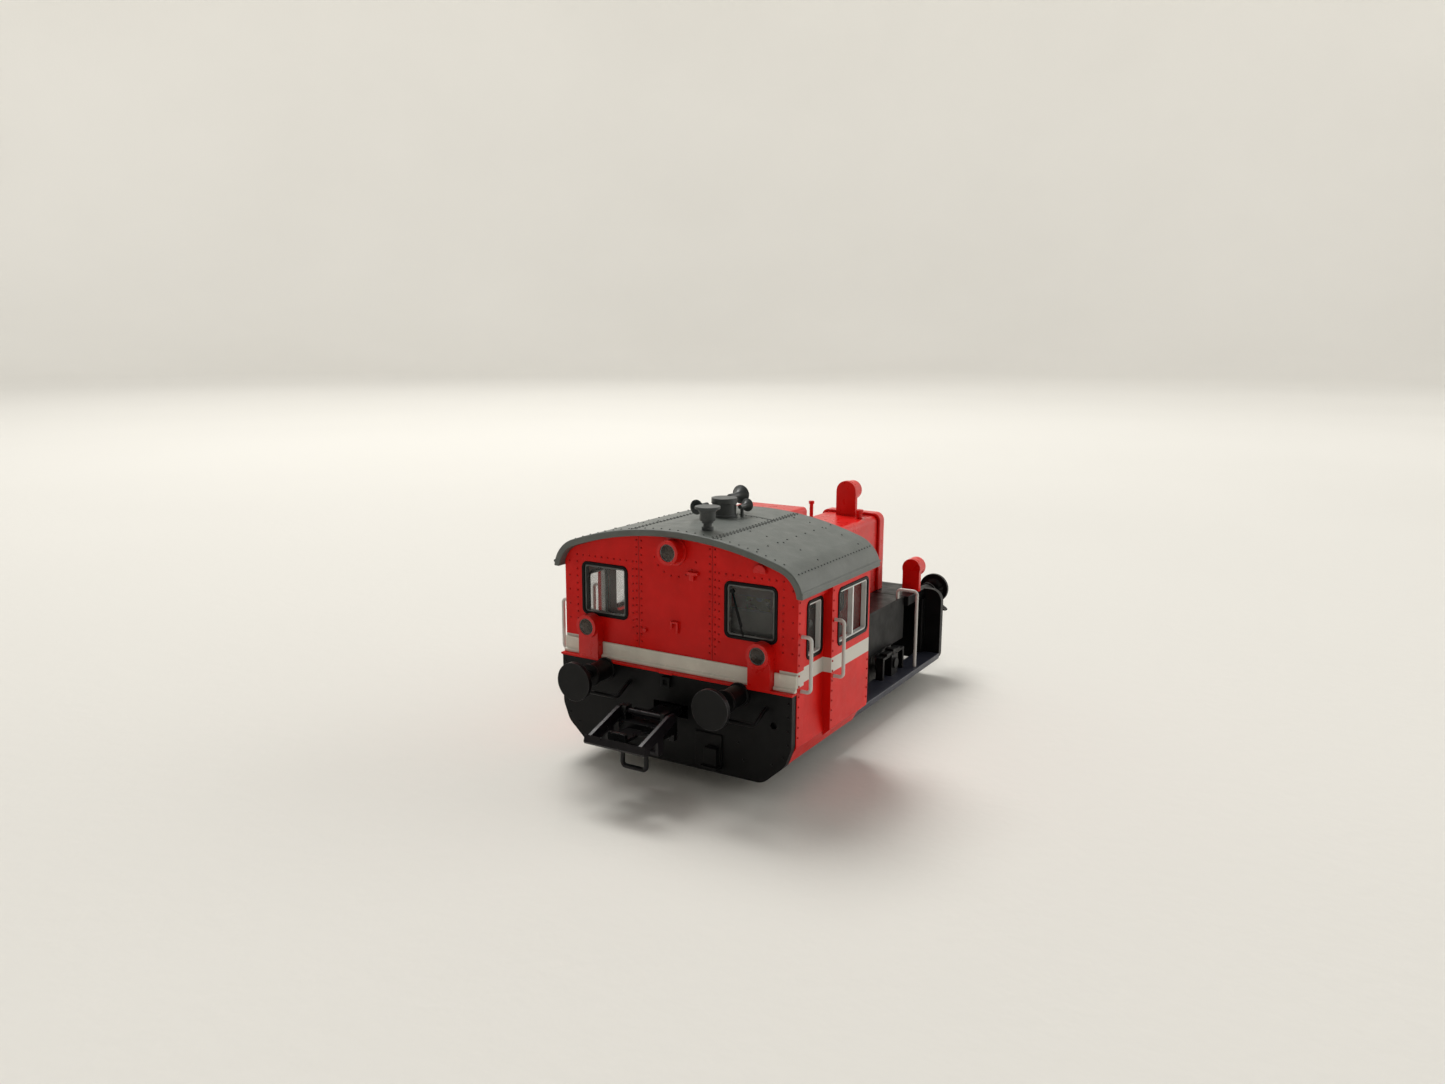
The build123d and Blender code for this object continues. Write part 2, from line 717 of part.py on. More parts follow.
# ---------------------------------------------------------------- cab
def arch(inset):
    """Return the cab's cross section below the roof line, set in from the roof's outer face.

    A flat crown arc runs tangent into a tight arc at each side, then straight down.
    """
    crown = roof_crown_radius - inset
    corner = roof_corner_radius - inset
    top = roof_top_z - inset
    crown_centre_z = top - crown
    corner_y = roof_half_width - roof_corner_radius
    corner_z = crown_centre_z + math.sqrt((crown - corner) ** 2 - corner_y**2)
    lean = math.atan2(corner_y, corner_z - crown_centre_z)
    joint_y = crown * math.sin(lean)
    joint_z = crown_centre_z + crown * math.cos(lean)
    half = corner_y + corner
    middle_lean = (lean + math.pi / 2) / 2
    mid_y = corner_y + corner * math.sin(middle_lean)
    mid_z = corner_z + corner * math.cos(middle_lean)
    low = corner_z - 30
    edge = [
        Line((half, low), (half, corner_z)),
        ThreePointArc((half, corner_z), (mid_y, mid_z), (joint_y, joint_z)),
        ThreePointArc((joint_y, joint_z), (0, top), (-joint_y, joint_z)),
        ThreePointArc((-joint_y, joint_z), (-mid_y, mid_z), (-half, corner_z)),
        Line((-half, corner_z), (-half, low)),
        Line((-half, low), (half, low)),
    ]
    return make_face(edge)


def cab_section(half, low_z):
    """Return a cab cross section that is as wide as the pillars and ends under the roof."""
    tall = Pos(0, (low_z + roof_top_z) / 2) * Rectangle(2 * half, roof_top_z - low_z)
    return tall & arch(roof_thickness + running)


def end_window(y_side, grow):
    """Return the outline of one end window, larger all round by a margin."""
    centre_y = y_side * (end_window_inner_y + end_window_width / 2)
    centre_z = end_window_bottom_z + end_window_height / 2
    corner = max(window_corner + grow, 0.2)
    return rounded(centre_y, centre_z, end_window_width + 2 * grow, end_window_height + 2 * grow, corner)


def side_opening(x0, width, z0, height, grow):
    """Return the outline of a side window in (x, z), larger all round by a margin."""
    corner = max(window_corner + grow, 0.2)
    return rounded(x0 + width / 2, z0 + height / 2, width + 2 * grow, height + 2 * grow, corner)


def side_prism(face, y0, y1):
    """Carry a flat face of (x, z) along Y."""
    return extrude(Plane.XZ.offset(-y0) * face, -(y1 - y0))


SIDE_WINDOW = (side_window_rear_x, side_window_width, side_window_bottom_z, side_window_height)
DOOR_WINDOW = (door_window_rear_x, door_window_width, door_window_bottom_z, door_window_height)


def cab_body():
    """Return the cab's walls in one piece: open above and below, with its window openings."""
    shell = prism_x(cab_section(cab_pillar_y, cab_side_bottom_z), cab_rear_x, cab_front_x)
    lower = [
        (-cab_sill_y, cab_sill_z), (cab_sill_y, cab_sill_z),
        (cab_pillar_y, cab_side_bottom_z), (-cab_pillar_y, cab_side_bottom_z),
    ]
    shell += prism_x(lower, cab_rear_x, cab_front_x)
    panel_outline = [
        (cab_pillar_y - 0.3, cab_side_bottom_z - 0.9), (cab_panel_y, cab_side_bottom_z),
        (cab_panel_y, eave_z - running), (cab_pillar_y - 0.3, eave_z - running),
    ]
    panel = prism_x(panel_outline, cab_panel_rear_x, cab_front_x)
    corner_x = cab_front_x - panel_corner
    corner_z = cab_side_bottom_z - 0.9 + panel_corner
    corner = block(corner_x, cab_front_x, cab_pillar_y, cab_panel_y, corner_z - panel_corner, corner_z)
    panel -= corner - rod_y(cab_pillar_y, cab_panel_y, corner_x, corner_z, panel_corner)
    for piece in both_sides(panel):
        shell += piece
    high = roof_top_z + 1
    shell -= block(
        cab_rear_x + cab_wall, cab_front_x - cab_wall, -cab_inner_y, cab_inner_y, 0, high
    )
    sill_room = [
        (cab_floor_cut_y, 0), (cab_inner_y, cab_sill_z + 1.2),
        (-cab_inner_y, cab_sill_z + 1.2), (-cab_floor_cut_y, 0),
    ]
    shell -= prism_x(sill_room, cab_rear_x + cab_wall, cab_front_x - cab_wall)
    recess = [
        (cab_pillar_y + 1, cab_side_bottom_z - 0.7), (cab_pillar_y, cab_side_bottom_z - 0.7),
        (cab_door_y, cab_side_bottom_z + 3.0), (cab_door_y, eave_z - 0.9), (cab_pillar_y + 1, eave_z - 0.9),
    ]
    for cut in both_sides(prism_x(recess, cab_door_rear_x, cab_panel_rear_x)):
        shell -= cut
    beam_room = frame_half_width + seat
    shell -= block(cab_rear_x - 1, cab_front_x + 1, -beam_room, beam_room, 0, deck_under_z + seat)
    tank_room = tank_outer_y + 0.1
    front_wall = (cab_front_x - cab_wall - 1, cab_front_x + 1)
    shell -= block(*front_wall, -tank_room, tank_room, 0, deck_under_z + seat)
    shell -= block(cab_rear_x - 1, cab_rear_x + cab_wall + 1, -15.6, 15.6, 0, deck_under_z - 0.6)
    box_room = board_outer_y + 0.8
    shell -= block(cab_rear_x - 1, cab_front_x + 1, -box_room, box_room, 0, axle_z + 2.6)
    for side in (-1, 1):
        opening = end_window(side, 0)
        shell -= prism_x(opening, cab_rear_x - 1, cab_rear_x + cab_wall + 1)
        shell -= prism_x(opening, *front_wall)
        for window in (SIDE_WINDOW, DOOR_WINDOW):
            shell -= side_prism(side_opening(*window, 0), side * (cab_inner_y - 2), side * (cab_panel_y + 2))
    for y, z in ((-rear_lamp_y, rear_lamp_z), (rear_lamp_y, rear_lamp_z), (0, top_lamp_z)):
        shell -= rod_x(cab_rear_x - 1, cab_rear_x + 2, y, z, lens_stem_radius + seat)
    shell -= block(*front_wall, -3.6, 3.6, deck_under_z, cab_floor_top_z + 6)
    ledge_low = rear_beam_top_z
    ledge = block(
        -beam_x - ledge_proud, cab_rear_x + 0.3, -cab_pillar_y, cab_pillar_y,
        ledge_low, ledge_low + ledge_thickness,
    )
    ledge += block(-beam_x - 2 * ledge_proud, -beam_x, -0.5, 1.5, ledge_low, ledge_low + ledge_thickness)
    return shell + ledge - sleeve_room()


def sleeve_room():
    """Return the space round the rear buffer sleeves, which notch what stands over them."""
    radius = sleeve_radius + sleeve_rim + seat
    left = rod_x(-sleeve_front_x, -beam_x, buffer_y, buffer_z, radius)
    return left + mirror(left, about=Plane.XZ)


def stripe_bar():
    """Return the raised white bar along the foot of the cab's end wall, beside the lamp feet."""
    low = rear_beam_top_z + ledge_thickness
    half = lamp_pedestal_half_width + seat
    step = [(cab_rear_x, low), (cab_rear_x - 0.62, low), (cab_rear_x - 0.62, low + 0.35),
            (cab_rear_x - 0.3, low + 0.5), (cab_rear_x - 0.3, low + 2.1), (cab_rear_x, low + 2.1)]
    spans = [
        (-cab_pillar_y, -rear_lamp_y - half), (-rear_lamp_y + half, rear_lamp_y - half),
        (rear_lamp_y + half, cab_pillar_y),
    ]
    return [prism_y(step, y0, y1) for y0, y1 in spans]


def cab_roof():
    """Return the arched roof sheet, thick at its ends and over the eaves."""
    outer = arch(0)
    low_cut = block(roof_rear_x - 1, roof_front_x + 1, -30, 30, -60, eave_z)
    sheet = prism_x(outer, roof_rear_x, roof_front_x)
    sheet -= prism_x(arch(roof_thickness), roof_rear_x - 1, roof_front_x + 1)
    return sheet - low_cut


def window_rows():
    """Return every cab window as (outline function, carry function, outer face, direction out)."""
    rows = []
    for side in (-1, 1):
        rows.append((lambda g, s=side: end_window(s, g), prism_x, cab_rear_x, -1))
        rows.append((lambda g, s=side: end_window(s, g), prism_x, cab_front_x, 1))
        rows.append((lambda g: side_opening(*SIDE_WINDOW, g), side_prism, side * cab_panel_y, side))
        rows.append((lambda g: side_opening(*DOOR_WINDOW, g), side_prism, side * cab_door_y, side))
    return rows


def carried(carry, face, a, b):
    """Carry a face between two positions in rising order."""
    return carry(face, min(a, b), max(a, b))


def window_rubbers():
    """Return the rubber frame that lines each window opening."""
    rings = []
    for outline, carry, face, out in window_rows():
        front = face + out * rubber_proud
        back = face - out * 0.8
        outer = carried(carry, outline(-seat), back, front)
        hole = carried(carry, outline(-seat - rubber_width), back - 5, front + 5)
        rings.append(outer - hole)
    return rings


def window_frames():
    """Return the bright metal frame inside each rubber; the side windows have a middle bar."""
    frames = []
    for outline, carry, face, out in window_rows():
        front = face - out * 0.05
        back = face - out * 0.7
        step = seat + rubber_width + 0.02
        ring = carried(carry, outline(-step), back, front)
        ring -= carried(carry, outline(-step - metal_frame_width), back - 5, front + 5)
        if abs(face) == cab_panel_y:
            bar_x = side_window_rear_x + side_window_width * 0.5
            low = side_window_bottom_z + step + 0.1
            high = side_window_bottom_z + side_window_height - step - 0.1
            y0, y1 = sorted((front, back))
            ring += block(bar_x - 0.17, bar_x + 0.17, y0, y1, low, high)
        frames.append(ring)
    return frames


def window_panes():
    """Return the clear pane behind each window frame."""
    panes = []
    for outline, carry, face, out in window_rows():
        front = face - out * 0.82
        back = front - out * pane_thickness
        panes.append(carried(carry, outline(-seat), back, front))
    return panes


def cab_floor():
    """Return the cab's floor plate, on the frame between the cab's walls."""
    return block(
        cab_rear_x + cab_wall + running, cab_front_x - cab_wall - running,
        -cab_inner_y + running, cab_inner_y - running, deck_under_z, cab_floor_top_z,
    )


def control_desk():
    """Return the driver's desk across the front of the cab, with its sloping instrument panel."""
    front = cab_front_x - cab_wall - 0.7
    top = end_window_bottom_z - 1.2
    outline = [
        (front, cab_floor_top_z), (front, top), (front - 1.2, top), (front - 3.0, top - 2.2),
        (front - 3.0, top - 3.4), (front - 2.2, cab_floor_top_z),
    ]
    return prism_y(outline, -7.5, 7.5)


def hand_wheel():
    """Return the brake column beside the desk with its hand wheel on top."""
    x = cab_front_x - 5.01
    y = -10.0
    top = end_window_bottom_z - 1.2
    column = rod_z(cab_floor_top_z, top, x, y, 0.4)
    hub = rod_z(top - 0.15, top + 0.25, x, y, 0.55)
    rim = rod_z(top - 0.1, top + 0.3, x, y, 2.0) - rod_z(top - 1, top + 1, x, y, 1.6)
    spokes = block(x - 1.8, x + 1.8, y - 0.16, y + 0.16, top - 0.05, top + 0.2)
    spokes += block(x - 0.16, x + 0.16, y - 1.8, y + 1.8, top - 0.05, top + 0.2)
    return column + hub + rim + spokes


def driver_seat():
    """Return the driver's seat: a pedestal, a cushion and a low back."""
    x = cab_rear_x + 8.0
    y = 7.5
    seat_z = cab_floor_top_z + 2.4
    pedestal = rod_z(cab_floor_top_z, seat_z, x, y, 0.8)
    pedestal += rod_z(cab_floor_top_z, cab_floor_top_z + 0.4, x, y, 1.8)
    cushion = block(x - 2.2, x + 2.2, y - 2.3, y + 2.3, seat_z - 0.1, seat_z + 0.9)
    back = block(x - 2.2, x - 1.5, y - 2.1, y + 2.1, seat_z + 0.5, seat_z + 2.6)
    return pedestal + cushion + back


def wiper():
    """Return the wiper in front of the right rear window: pivot, arm and blade."""
    x0 = cab_rear_x - rubber_proud - 0.16
    pivot = (-end_window_inner_y - 1.3, end_window_bottom_z + end_window_height - 1.2)
    toe = (pivot[0] - 1.7, end_window_bottom_z + 0.6)
    hub = rod_x(x0 - 0.12, cab_rear_x - rubber_proud - 0.02, *pivot, 0.3)
    along_y = toe[0] - pivot[0]
    along_z = toe[1] - pivot[1]
    length = math.hypot(along_y, along_z)
    ny = -along_z / length
    nz = along_y / length

    def strip(start, end, half, shift):
        """Return a flat strip along the arm between two shares of its length."""
        ya, yb = (pivot[0] + along_y * share + ny * shift for share in (start, end))
        za, zb = (pivot[1] + along_z * share + nz * shift for share in (start, end))
        outline = [
            (ya + ny * half, za + nz * half), (yb + ny * half, zb + nz * half),
            (yb - ny * half, zb - nz * half), (ya - ny * half, za - nz * half),
        ]
        return prism_x(outline, x0 - 0.08, x0 + 0.1)

    return hub + strip(0, 0.8, 0.09, 0) + strip(0.3, 1.0, 0.07, 0.13)


def end_wall_fittings():
    """Return the small pieces on the cab's end wall: cover, hook plate, handle and knob."""
    x = cab_rear_x
    cover = rod_x(x - 0.45, x, -12.3, rail + 27.5, 0.85)
    cover -= block(x - 1, x + 1, -14, -10, rail + 25, rail + 27.25)
    hook = block(x - 0.5, x, -3.6, -2.0, rail + 25.9, rail + 26.3)
    hook += block(x - 0.5, x, -3.0, -2.4, rail + 25.2, rail + 26)
    handle = block(x - 0.4, x, -0.65, -0.35, rail + 18.1, rail + 19.6)
    handle += block(x - 0.4, x, -0.65, 0.5, rail + 19.35, rail + 19.6)
    handle += block(x - 0.4, x, 0.25, 0.5, rail + 18.6, rail + 19.6)
    knob = rod_x(x - 0.35, x, 4.5, rail + 17.8, 0.3)
    return [cover, hook, handle, knob]


def cab_rails():
    """Return the four bent wire handrails beside the cab doors."""
    rails = []
    rows = (
        (pillar_rail_x, cab_pillar_y, pillar_rail_bottom_z, pillar_rail_top_z),
        (panel_rail_x, cab_panel_y, panel_rail_bottom_z, panel_rail_top_z),
    )
    for x, wall, low, high in rows:
        out = wall + cab_rail_stand_off
        points = [(x, wall, low), (x, out, low), (x, out, high), (x, wall, high)]
        rails += both_sides(wire_bar(points, cab_rail_bend, cab_rail_radius))
    return rails


# ---------------------------------------------------------------- lamps
def arched_plate(y, half, low, centre_z, x0, x1):
    """Return an upright plate with a round top."""
    plate = block(x0, x1, y - half, y + half, low, centre_z)
    return plate + rod_x(x0, x1, y, centre_z, half)


def lamp_cut(y, z, front, out, depth):
    """Return the bore for a lens, cut into a lamp from its front."""
    return rod_x(front + out, front - out * depth, y, z, lamp_bore)


def lens(y, z, face, out, stem_length):
    """Return a lens with the light guide behind it."""
    disc = rod_x(face, face - out * lens_thickness, y, z, lens_radius)
    return disc + rod_x(face - out * lens_thickness / 2, face - out * stem_length, y, z, lens_stem_radius)


def rear_lamps():
    """Return the cab end's lamp housings: two on feet, one under the roof."""
    lamps = []
    front = rear_lamp_front_x
    for side in (-1, 1):
        y = side * rear_lamp_y
        foot_x = cab_rear_x - lamp_pedestal_proud
        body = arched_plate(y, lamp_pedestal_half_width, pedestal_bottom_z, rear_lamp_z, foot_x, cab_rear_x)
        body += rod_x(front, cab_rear_x, y, rear_lamp_z, lamp_radius)
        body -= lamp_cut(y, rear_lamp_z, front, -1, 0.7)
        body -= rod_x(front, cab_rear_x + 1, y, rear_lamp_z, lens_stem_radius + seat)
        window_room = prism_x(end_window(side, 0), cab_rear_x - rubber_proud - seat, cab_rear_x + 1)
        lamps.append(body - sleeve_room() - window_room)
    body = rod_x(front, cab_rear_x, 0, top_lamp_z, lamp_radius)
    body += rod_x(cab_rear_x - 0.3, cab_rear_x, 0, top_lamp_z, top_lamp_ring_radius - 0.35)
    body -= lamp_cut(0, top_lamp_z, front, -1, 0.7)
    body -= rod_x(front, cab_rear_x + 1, 0, top_lamp_z, lens_stem_radius + seat)
    lamps.append(body)
    return lamps


def rear_lenses():
    """Return the three lenses of the cab end."""
    face = rear_lamp_front_x + 0.2
    places = ((-rear_lamp_y, rear_lamp_z), (rear_lamp_y, rear_lamp_z), (0, top_lamp_z))
    return [lens(y, z, face, -1, 2.9) for y, z in places]


def front_lamps():
    """Return the hood end's lamp housings: two on the platform, one on the hood."""
    lamps = []
    rows = (
        (-front_lamp_y, 1.45, deck_z, front_lamp_z, front_lamp_plate_x, front_lamp_front_x),
        (front_lamp_y, 1.45, deck_z, front_lamp_z, front_lamp_plate_x, front_lamp_front_x),
        (0, hood_lamp_half_width, hood_top_z, hood_lamp_z, hood_lamp_plate_x, hood_lamp_front_x),
    )
    for y, half, low, z, plate_x, front in rows:
        body = arched_plate(y, half, low, z, plate_x, plate_x + lamp_plate_thickness)
        body += rod_x(plate_x, front, y, z, lamp_radius)
        body += block(plate_x, front - 0.9, y - 0.5, y + 0.5, low, z)
        body -= lamp_cut(y, z, front, 1, 0.7)
        body -= rod_x(plate_x + lamp_back, front, y, z, lens_stem_radius + seat)
        lamps.append(body)
    return lamps


def front_lenses():
    """Return the three lenses of the hood end."""
    rows = (
        (-front_lamp_y, front_lamp_z, front_lamp_front_x, front_lamp_plate_x),
        (front_lamp_y, front_lamp_z, front_lamp_front_x, front_lamp_plate_x),
        (0, hood_lamp_z, hood_lamp_front_x, hood_lamp_plate_x),
    )
    sunk = 0.2
    shorter = sunk + lamp_back + seat
    return [lens(y, z, front - sunk, 1, front - plate_x - shorter) for y, z, front, plate_x in rows]


# ---------------------------------------------------------------- roof fittings
def roof_height(y):
    """Return the height of the roof's outer face at a distance from the middle."""
    return roof_top_z - roof_crown_radius + math.sqrt(roof_crown_radius**2 - y**2)


def seated_on_roof(piece):
    """Cut away what lies inside the roof, so that the piece stands on its curve."""
    return piece - prism_x(arch(0), roof_rear_x, roof_front_x)


def mushroom_vent():
    """Return the small ventilator with a round cap on a stepped stem."""
    base = roof_height(vent_y) - 0.4
    cap_z = vent_top_z - 0.35
    steps = (
        (base, cap_z, 0.55), (base, base + 0.85, 0.75), (base + 1.3, base + 1.7, 0.75),
        (base + 1.6, cap_z - 0.2, 1.0), (cap_z - 0.25, cap_z, 1.2), (cap_z, vent_top_z, 1.6),
    )
    body = Part()
    for low, high, radius in steps:
        body += rod_z(low, high, vent_x, vent_y, radius)
    return seated_on_roof(body)


def fan_vent():
    """Return the large round ventilator with its lid."""
    base = roof_top_z - 0.4
    body = rod_z(base, fan_top_z, fan_x, 0, fan_radius - 0.12)
    body += rod_z(fan_top_z - 0.75, fan_top_z, fan_x, 0, fan_radius)
    body += rod_z(base, roof_top_z + 0.35, fan_x, 0, fan_radius)
    return seated_on_roof(body)


def horn(mouth_x, y, z, out, length, mouth_radius, foot_x):
    """Return one horn: a flared, hollow bell on a tube, with a foot on the roof."""
    throat = mouth_radius * 0.32
    flare_length = length * 0.45
    wall = 0.16
    shares = [step / 6 for step in range(7)]
    outer = [(throat + (mouth_radius - throat) * (1 - t) ** 2, t * flare_length) for t in shares]
    inner = [(r - wall, d) for r, d in outer[:4]]
    outline = [(0, inner[-1][1])] + inner[::-1] + outer + [(throat, length), (0, length)]
    bell = revolve(make_face(Polyline(*outline, close=True)), axis=Axis.Y)
    bell = Pos(mouth_x, y, z) * Rot(0, 0, 90 if out > 0 else -90) * bell
    foot = rod_z(roof_height(y) - 0.4, z - throat * 0.3, foot_x, y, throat * 0.8)
    return seated_on_roof(bell + foot)


def roof_horns():
    """Return the three horns: two that face the hood end, one that faces the cab end."""
    return [
        horn(fan_x + 5.0, 0.35, roof_top_z + 2.3, 1, 3.1, 1.3, fan_x + 2.6),
        horn(fan_x + 2.4, -2.15, roof_top_z + 1.4, 1, 2.0, 0.9, fan_x + 1.0),
        horn(fan_x - 3.4, 2.2, roof_top_z + 1.5, -1, 2.6, 1.0, fan_x - 1.4),
    ]


# ---------------------------------------------------------------- hood
def hood_section(half, low, top, corner):
    """Return a hood cross section with round upper corners."""
    plain = Pos(0, (low + top) / 2) * Rectangle(2 * half, top - low)
    return fillet(plain.vertices().sort_by(Axis.Y)[-2:], corner)


def hood():
    """Return the hood over the motor: a shell that is open below and towards the cab."""
    low = deck_under_z + seat
    body = prism_x(hood_section(hood_half_width, low, hood_top_z, hood_corner), hood_rear_x, hood_front_x)
    inner = hood_section(hood_half_width - hood_wall, low - 1, hood_top_z - hood_wall, hood_corner - 0.4)
    body -= prism_x(inner, hood_rear_x - 1, hood_front_x - hood_wall)
    middle_z = grille_bottom_z + grille_height / 2
    mouth = rounded(0, middle_z, 2 * grille_half_width, grille_height, 0.5)
    return body - prism_x(mouth, hood_front_x - 2, hood_front_x + 1)


def radiator_grille():
    """Return the grille in the hood's front: a frame with level slats."""
    middle_z = grille_bottom_z + grille_height / 2
    width = 2 * (grille_half_width - seat)
    height = grille_height - 2 * seat
    x0 = hood_front_x - hood_wall
    x1 = hood_front_x + 0.1
    outer = prism_x(rounded(0, middle_z, width, height, 0.45), x0, x1)
    grille = outer - prism_x(rounded(0, middle_z, width - 0.8, height - 0.8, 0.3), x0 - 1, x1 + 1)
    slats = 12
    pitch = (height - 0.8) / slats
    for index in range(1, slats):
        z = middle_z - (height - 0.8) / 2 + index * pitch
        grille += block(x0, x1 - 0.12, -width / 2 + 0.2, width / 2 - 0.2, z - 0.14, z + 0.14)
    grille += block(x0, x1 - 0.05, -0.17, 0.17, grille_bottom_z + 0.2, grille_bottom_z + grille_height - 0.2)
    return grille


def radiator_surround():
    """Return the raised band round the hood's front edge."""
    low = deck_z + seat
    x0 = hood_front_x - surround_length + 0.3
    x1 = hood_front_x + 0.3
    proud = surround_proud
    outer = hood_section(hood_half_width + proud, low, hood_top_z + proud, hood_corner + 0.3)
    inner = hood_section(hood_half_width + seat, low - 1, hood_top_z + seat, hood_corner)
    band = prism_x(outer, x0, x1) - prism_x(inner, x0 - 1, x1 + 1)
    return band


def cowl():
    """Return the tall box on the hood against the cab, lower where it runs under the roof."""
    low = hood_top_z + seat
    step_x = roof_front_x + running
    under = roof_height(cowl_half_width) - roof_thickness - 0.1
    tall = prism_x(hood_section(cowl_half_width, low, cowl_top_z, cowl_corner), step_x, cowl_front_x)
    return tall + prism_x(hood_section(cowl_half_width, low, under, cowl_corner), hood_rear_x, step_x)


def exhaust_pipe():
    """Return the thin exhaust on the hood, with its cap."""
    x = hood_front_x - 9.5
    y = hood_half_width - 1.6
    pipe_top = hood_top_z + 2.5
    pipe = rod_z(hood_top_z, pipe_top, x, y, 0.3) + rod_z(pipe_top - 0.1, pipe_top + 0.4, x, y, 0.45)
    return pipe + rod_z(hood_top_z, hood_top_z + 0.25, x, y, 0.6)


def filler_cap():
    """Return the filler cap on the hood beside the lamp."""
    x = hood_front_x - 5.0
    y = 1.7 - hood_half_width
    neck_top = hood_top_z + 0.9
    return rod_z(hood_top_z, neck_top, x, y, 0.5) + rod_z(neck_top - 0.05, neck_top + 0.5, x, y, 0.68)


# ---------------------------------------------------------------- motor
def motor_can():
    """Return the motor's can with flats on top and bottom and a bearing hole in each end."""
    x0 = motor_rear_x
    x1 = motor_rear_x + motor_length
    can = rod_x(x0, x1, 0, worm_axis_z, motor_radius)
    for side in (-1, 1):
        z = worm_axis_z + side * motor_flat
        can -= block(x0 - 1, x1 + 1, -9, 9, z, z + side * 4)
    can -= rod_x(x0 + motor_wall, x1 - motor_wall, 0, worm_axis_z, motor_radius - motor_wall - 0.2)
    return can - rod_x(x0 - 1, x1 + 1, 0, worm_axis_z, motor_shaft_radius + running)


def motor_rotor():
    """Return the armature on its shaft, which carries the worm towards the cab."""
    x0 = motor_rear_x + motor_wall + 1.4
    x1 = motor_rear_x + motor_length - motor_wall - 1.0
    shaft_front_x = motor_rear_x + motor_length + 0.8
    shaft = rod_x(worm_bracket_x - 1.2, shaft_front_x, 0, worm_axis_z, motor_shaft_radius)
    armature = rod_x(x0, x1, 0, worm_axis_z, 2.6)
    commutator = rod_x(x1, x1 + 0.8, 0, worm_axis_z, 1.0)
    return shaft + armature + commutator


def worm_bracket():
    """Return the bearing block at the end of the motor shaft, on the frame."""
    block_half = 0.6
    body = block(
        worm_bracket_x - block_half, worm_bracket_x + block_half, -2.4, 2.4, deck_under_z, worm_axis_z + 1.8
    )
    return body - rod_x(worm_bracket_x - 2, worm_bracket_x + 2, 0, worm_axis_z, motor_shaft_radius + running)


def motor_cradle():
    """Return the saddle that holds the motor on the frame."""
    inner = hood_half_width - hood_wall - 0.15
    low_top = worm_axis_z - 1.4
    body = block(motor_rear_x + 1, motor_rear_x + motor_length - 1, -inner, inner, deck_under_z, low_top)
    can = rod_x(motor_rear_x - 1, motor_rear_x + motor_length + 1, 0, worm_axis_z, motor_radius + seat)
    floor_z = worm_axis_z - motor_flat - seat
    return body - (can - block(-50, 50, -9, 9, 0, floor_z))


def circuit_board():
    """Return the board over the motor, with its legs and its chip."""
    low = worm_axis_z + motor_flat + 1.4
    thickness = 0.5
    board = block(-7.0, 20.5, -3.7, 3.7, low, low + thickness)
    for x in (motor_rear_x + 2, motor_rear_x + motor_length - 2):
        board += block(x - 0.6, x + 0.6, -1.8, 1.8, worm_axis_z + motor_flat + seat, low)
    chip = block(0.5, 7.5, -2.4, 2.4, low + thickness, low + thickness + 0.8)
    return board + chip


# ---------------------------------------------------------------- rails, grips
def deck_rails():
    """Return the two bent rails from the tread boards up and in to the tanks."""
    points = [
        (deck_rail_x, deck_rail_foot_y, board_top_z), (deck_rail_x, deck_rail_foot_y, deck_rail_top_z),
        (deck_rail_x, deck_rail_inner_y, deck_rail_top_z), (deck_rail_x, deck_rail_inner_y, deck_z),
    ]
    return both_sides(wire_bar(points, 0.6, deck_rail_radius))


def shunter_grips():
    """Return the four bent bars under the buffers, at both ends."""
    high = buffer_z - 1.1
    low = buffer_z - 2.5
    out = beam_x + grip_reach
    grips = []
    for side in (-1, 1):
        points = [
            (beam_x, side * buffer_y - grip_half_width, high), (out, side * buffer_y - grip_half_width, low),
            (out, side * buffer_y + grip_half_width, low), (beam_x, side * buffer_y + grip_half_width, high),
        ]
        bar = wire_bar(points, 0.5, grip_radius) - block(0, beam_x, -30, 30, 0, 30)
        grips += both_ends(bar)
    return grips


# ---------------------------------------------------------------- buffers
def buffer_sleeve():
    """Return one buffer sleeve of the hood end, bored for the plunger and its spring."""
    sleeve = rod_x(beam_x, sleeve_front_x, buffer_y, buffer_z, sleeve_radius)
    sleeve += rod_x(beam_x, beam_x + 0.4, buffer_y, buffer_z, sleeve_radius + sleeve_rim)
    sleeve += rod_x(sleeve_front_x - 0.35, sleeve_front_x, buffer_y, buffer_z, sleeve_radius + sleeve_rim)
    sleeve -= rod_x(beam_x - 1, sleeve_front_x - sleeve_lip, buffer_y, buffer_z, sleeve_bore)
    return sleeve - rod_x(beam_x - 1, sleeve_front_x + 1, buffer_y, buffer_z, shank_radius + running)


def buffer_plunger():
    """Return one plunger: a flat round head on a shank with the collar that holds it in."""
    collar_x = sleeve_front_x - sleeve_lip - 0.05
    back = buffer_face_x - buffer_head_thickness
    plunger = rod_x(back, buffer_face_x, buffer_y, buffer_z, buffer_head_radius)
    plunger += Pos(back - 0.25, buffer_y, buffer_z) * Rot(0, 90, 0) * Cone(0.95, 1.7, 0.5)
    plunger += rod_x(beam_x + 0.5, back, buffer_y, buffer_z, shank_radius)
    return plunger + rod_x(collar_x - collar_length, collar_x, buffer_y, buffer_z, collar_radius)


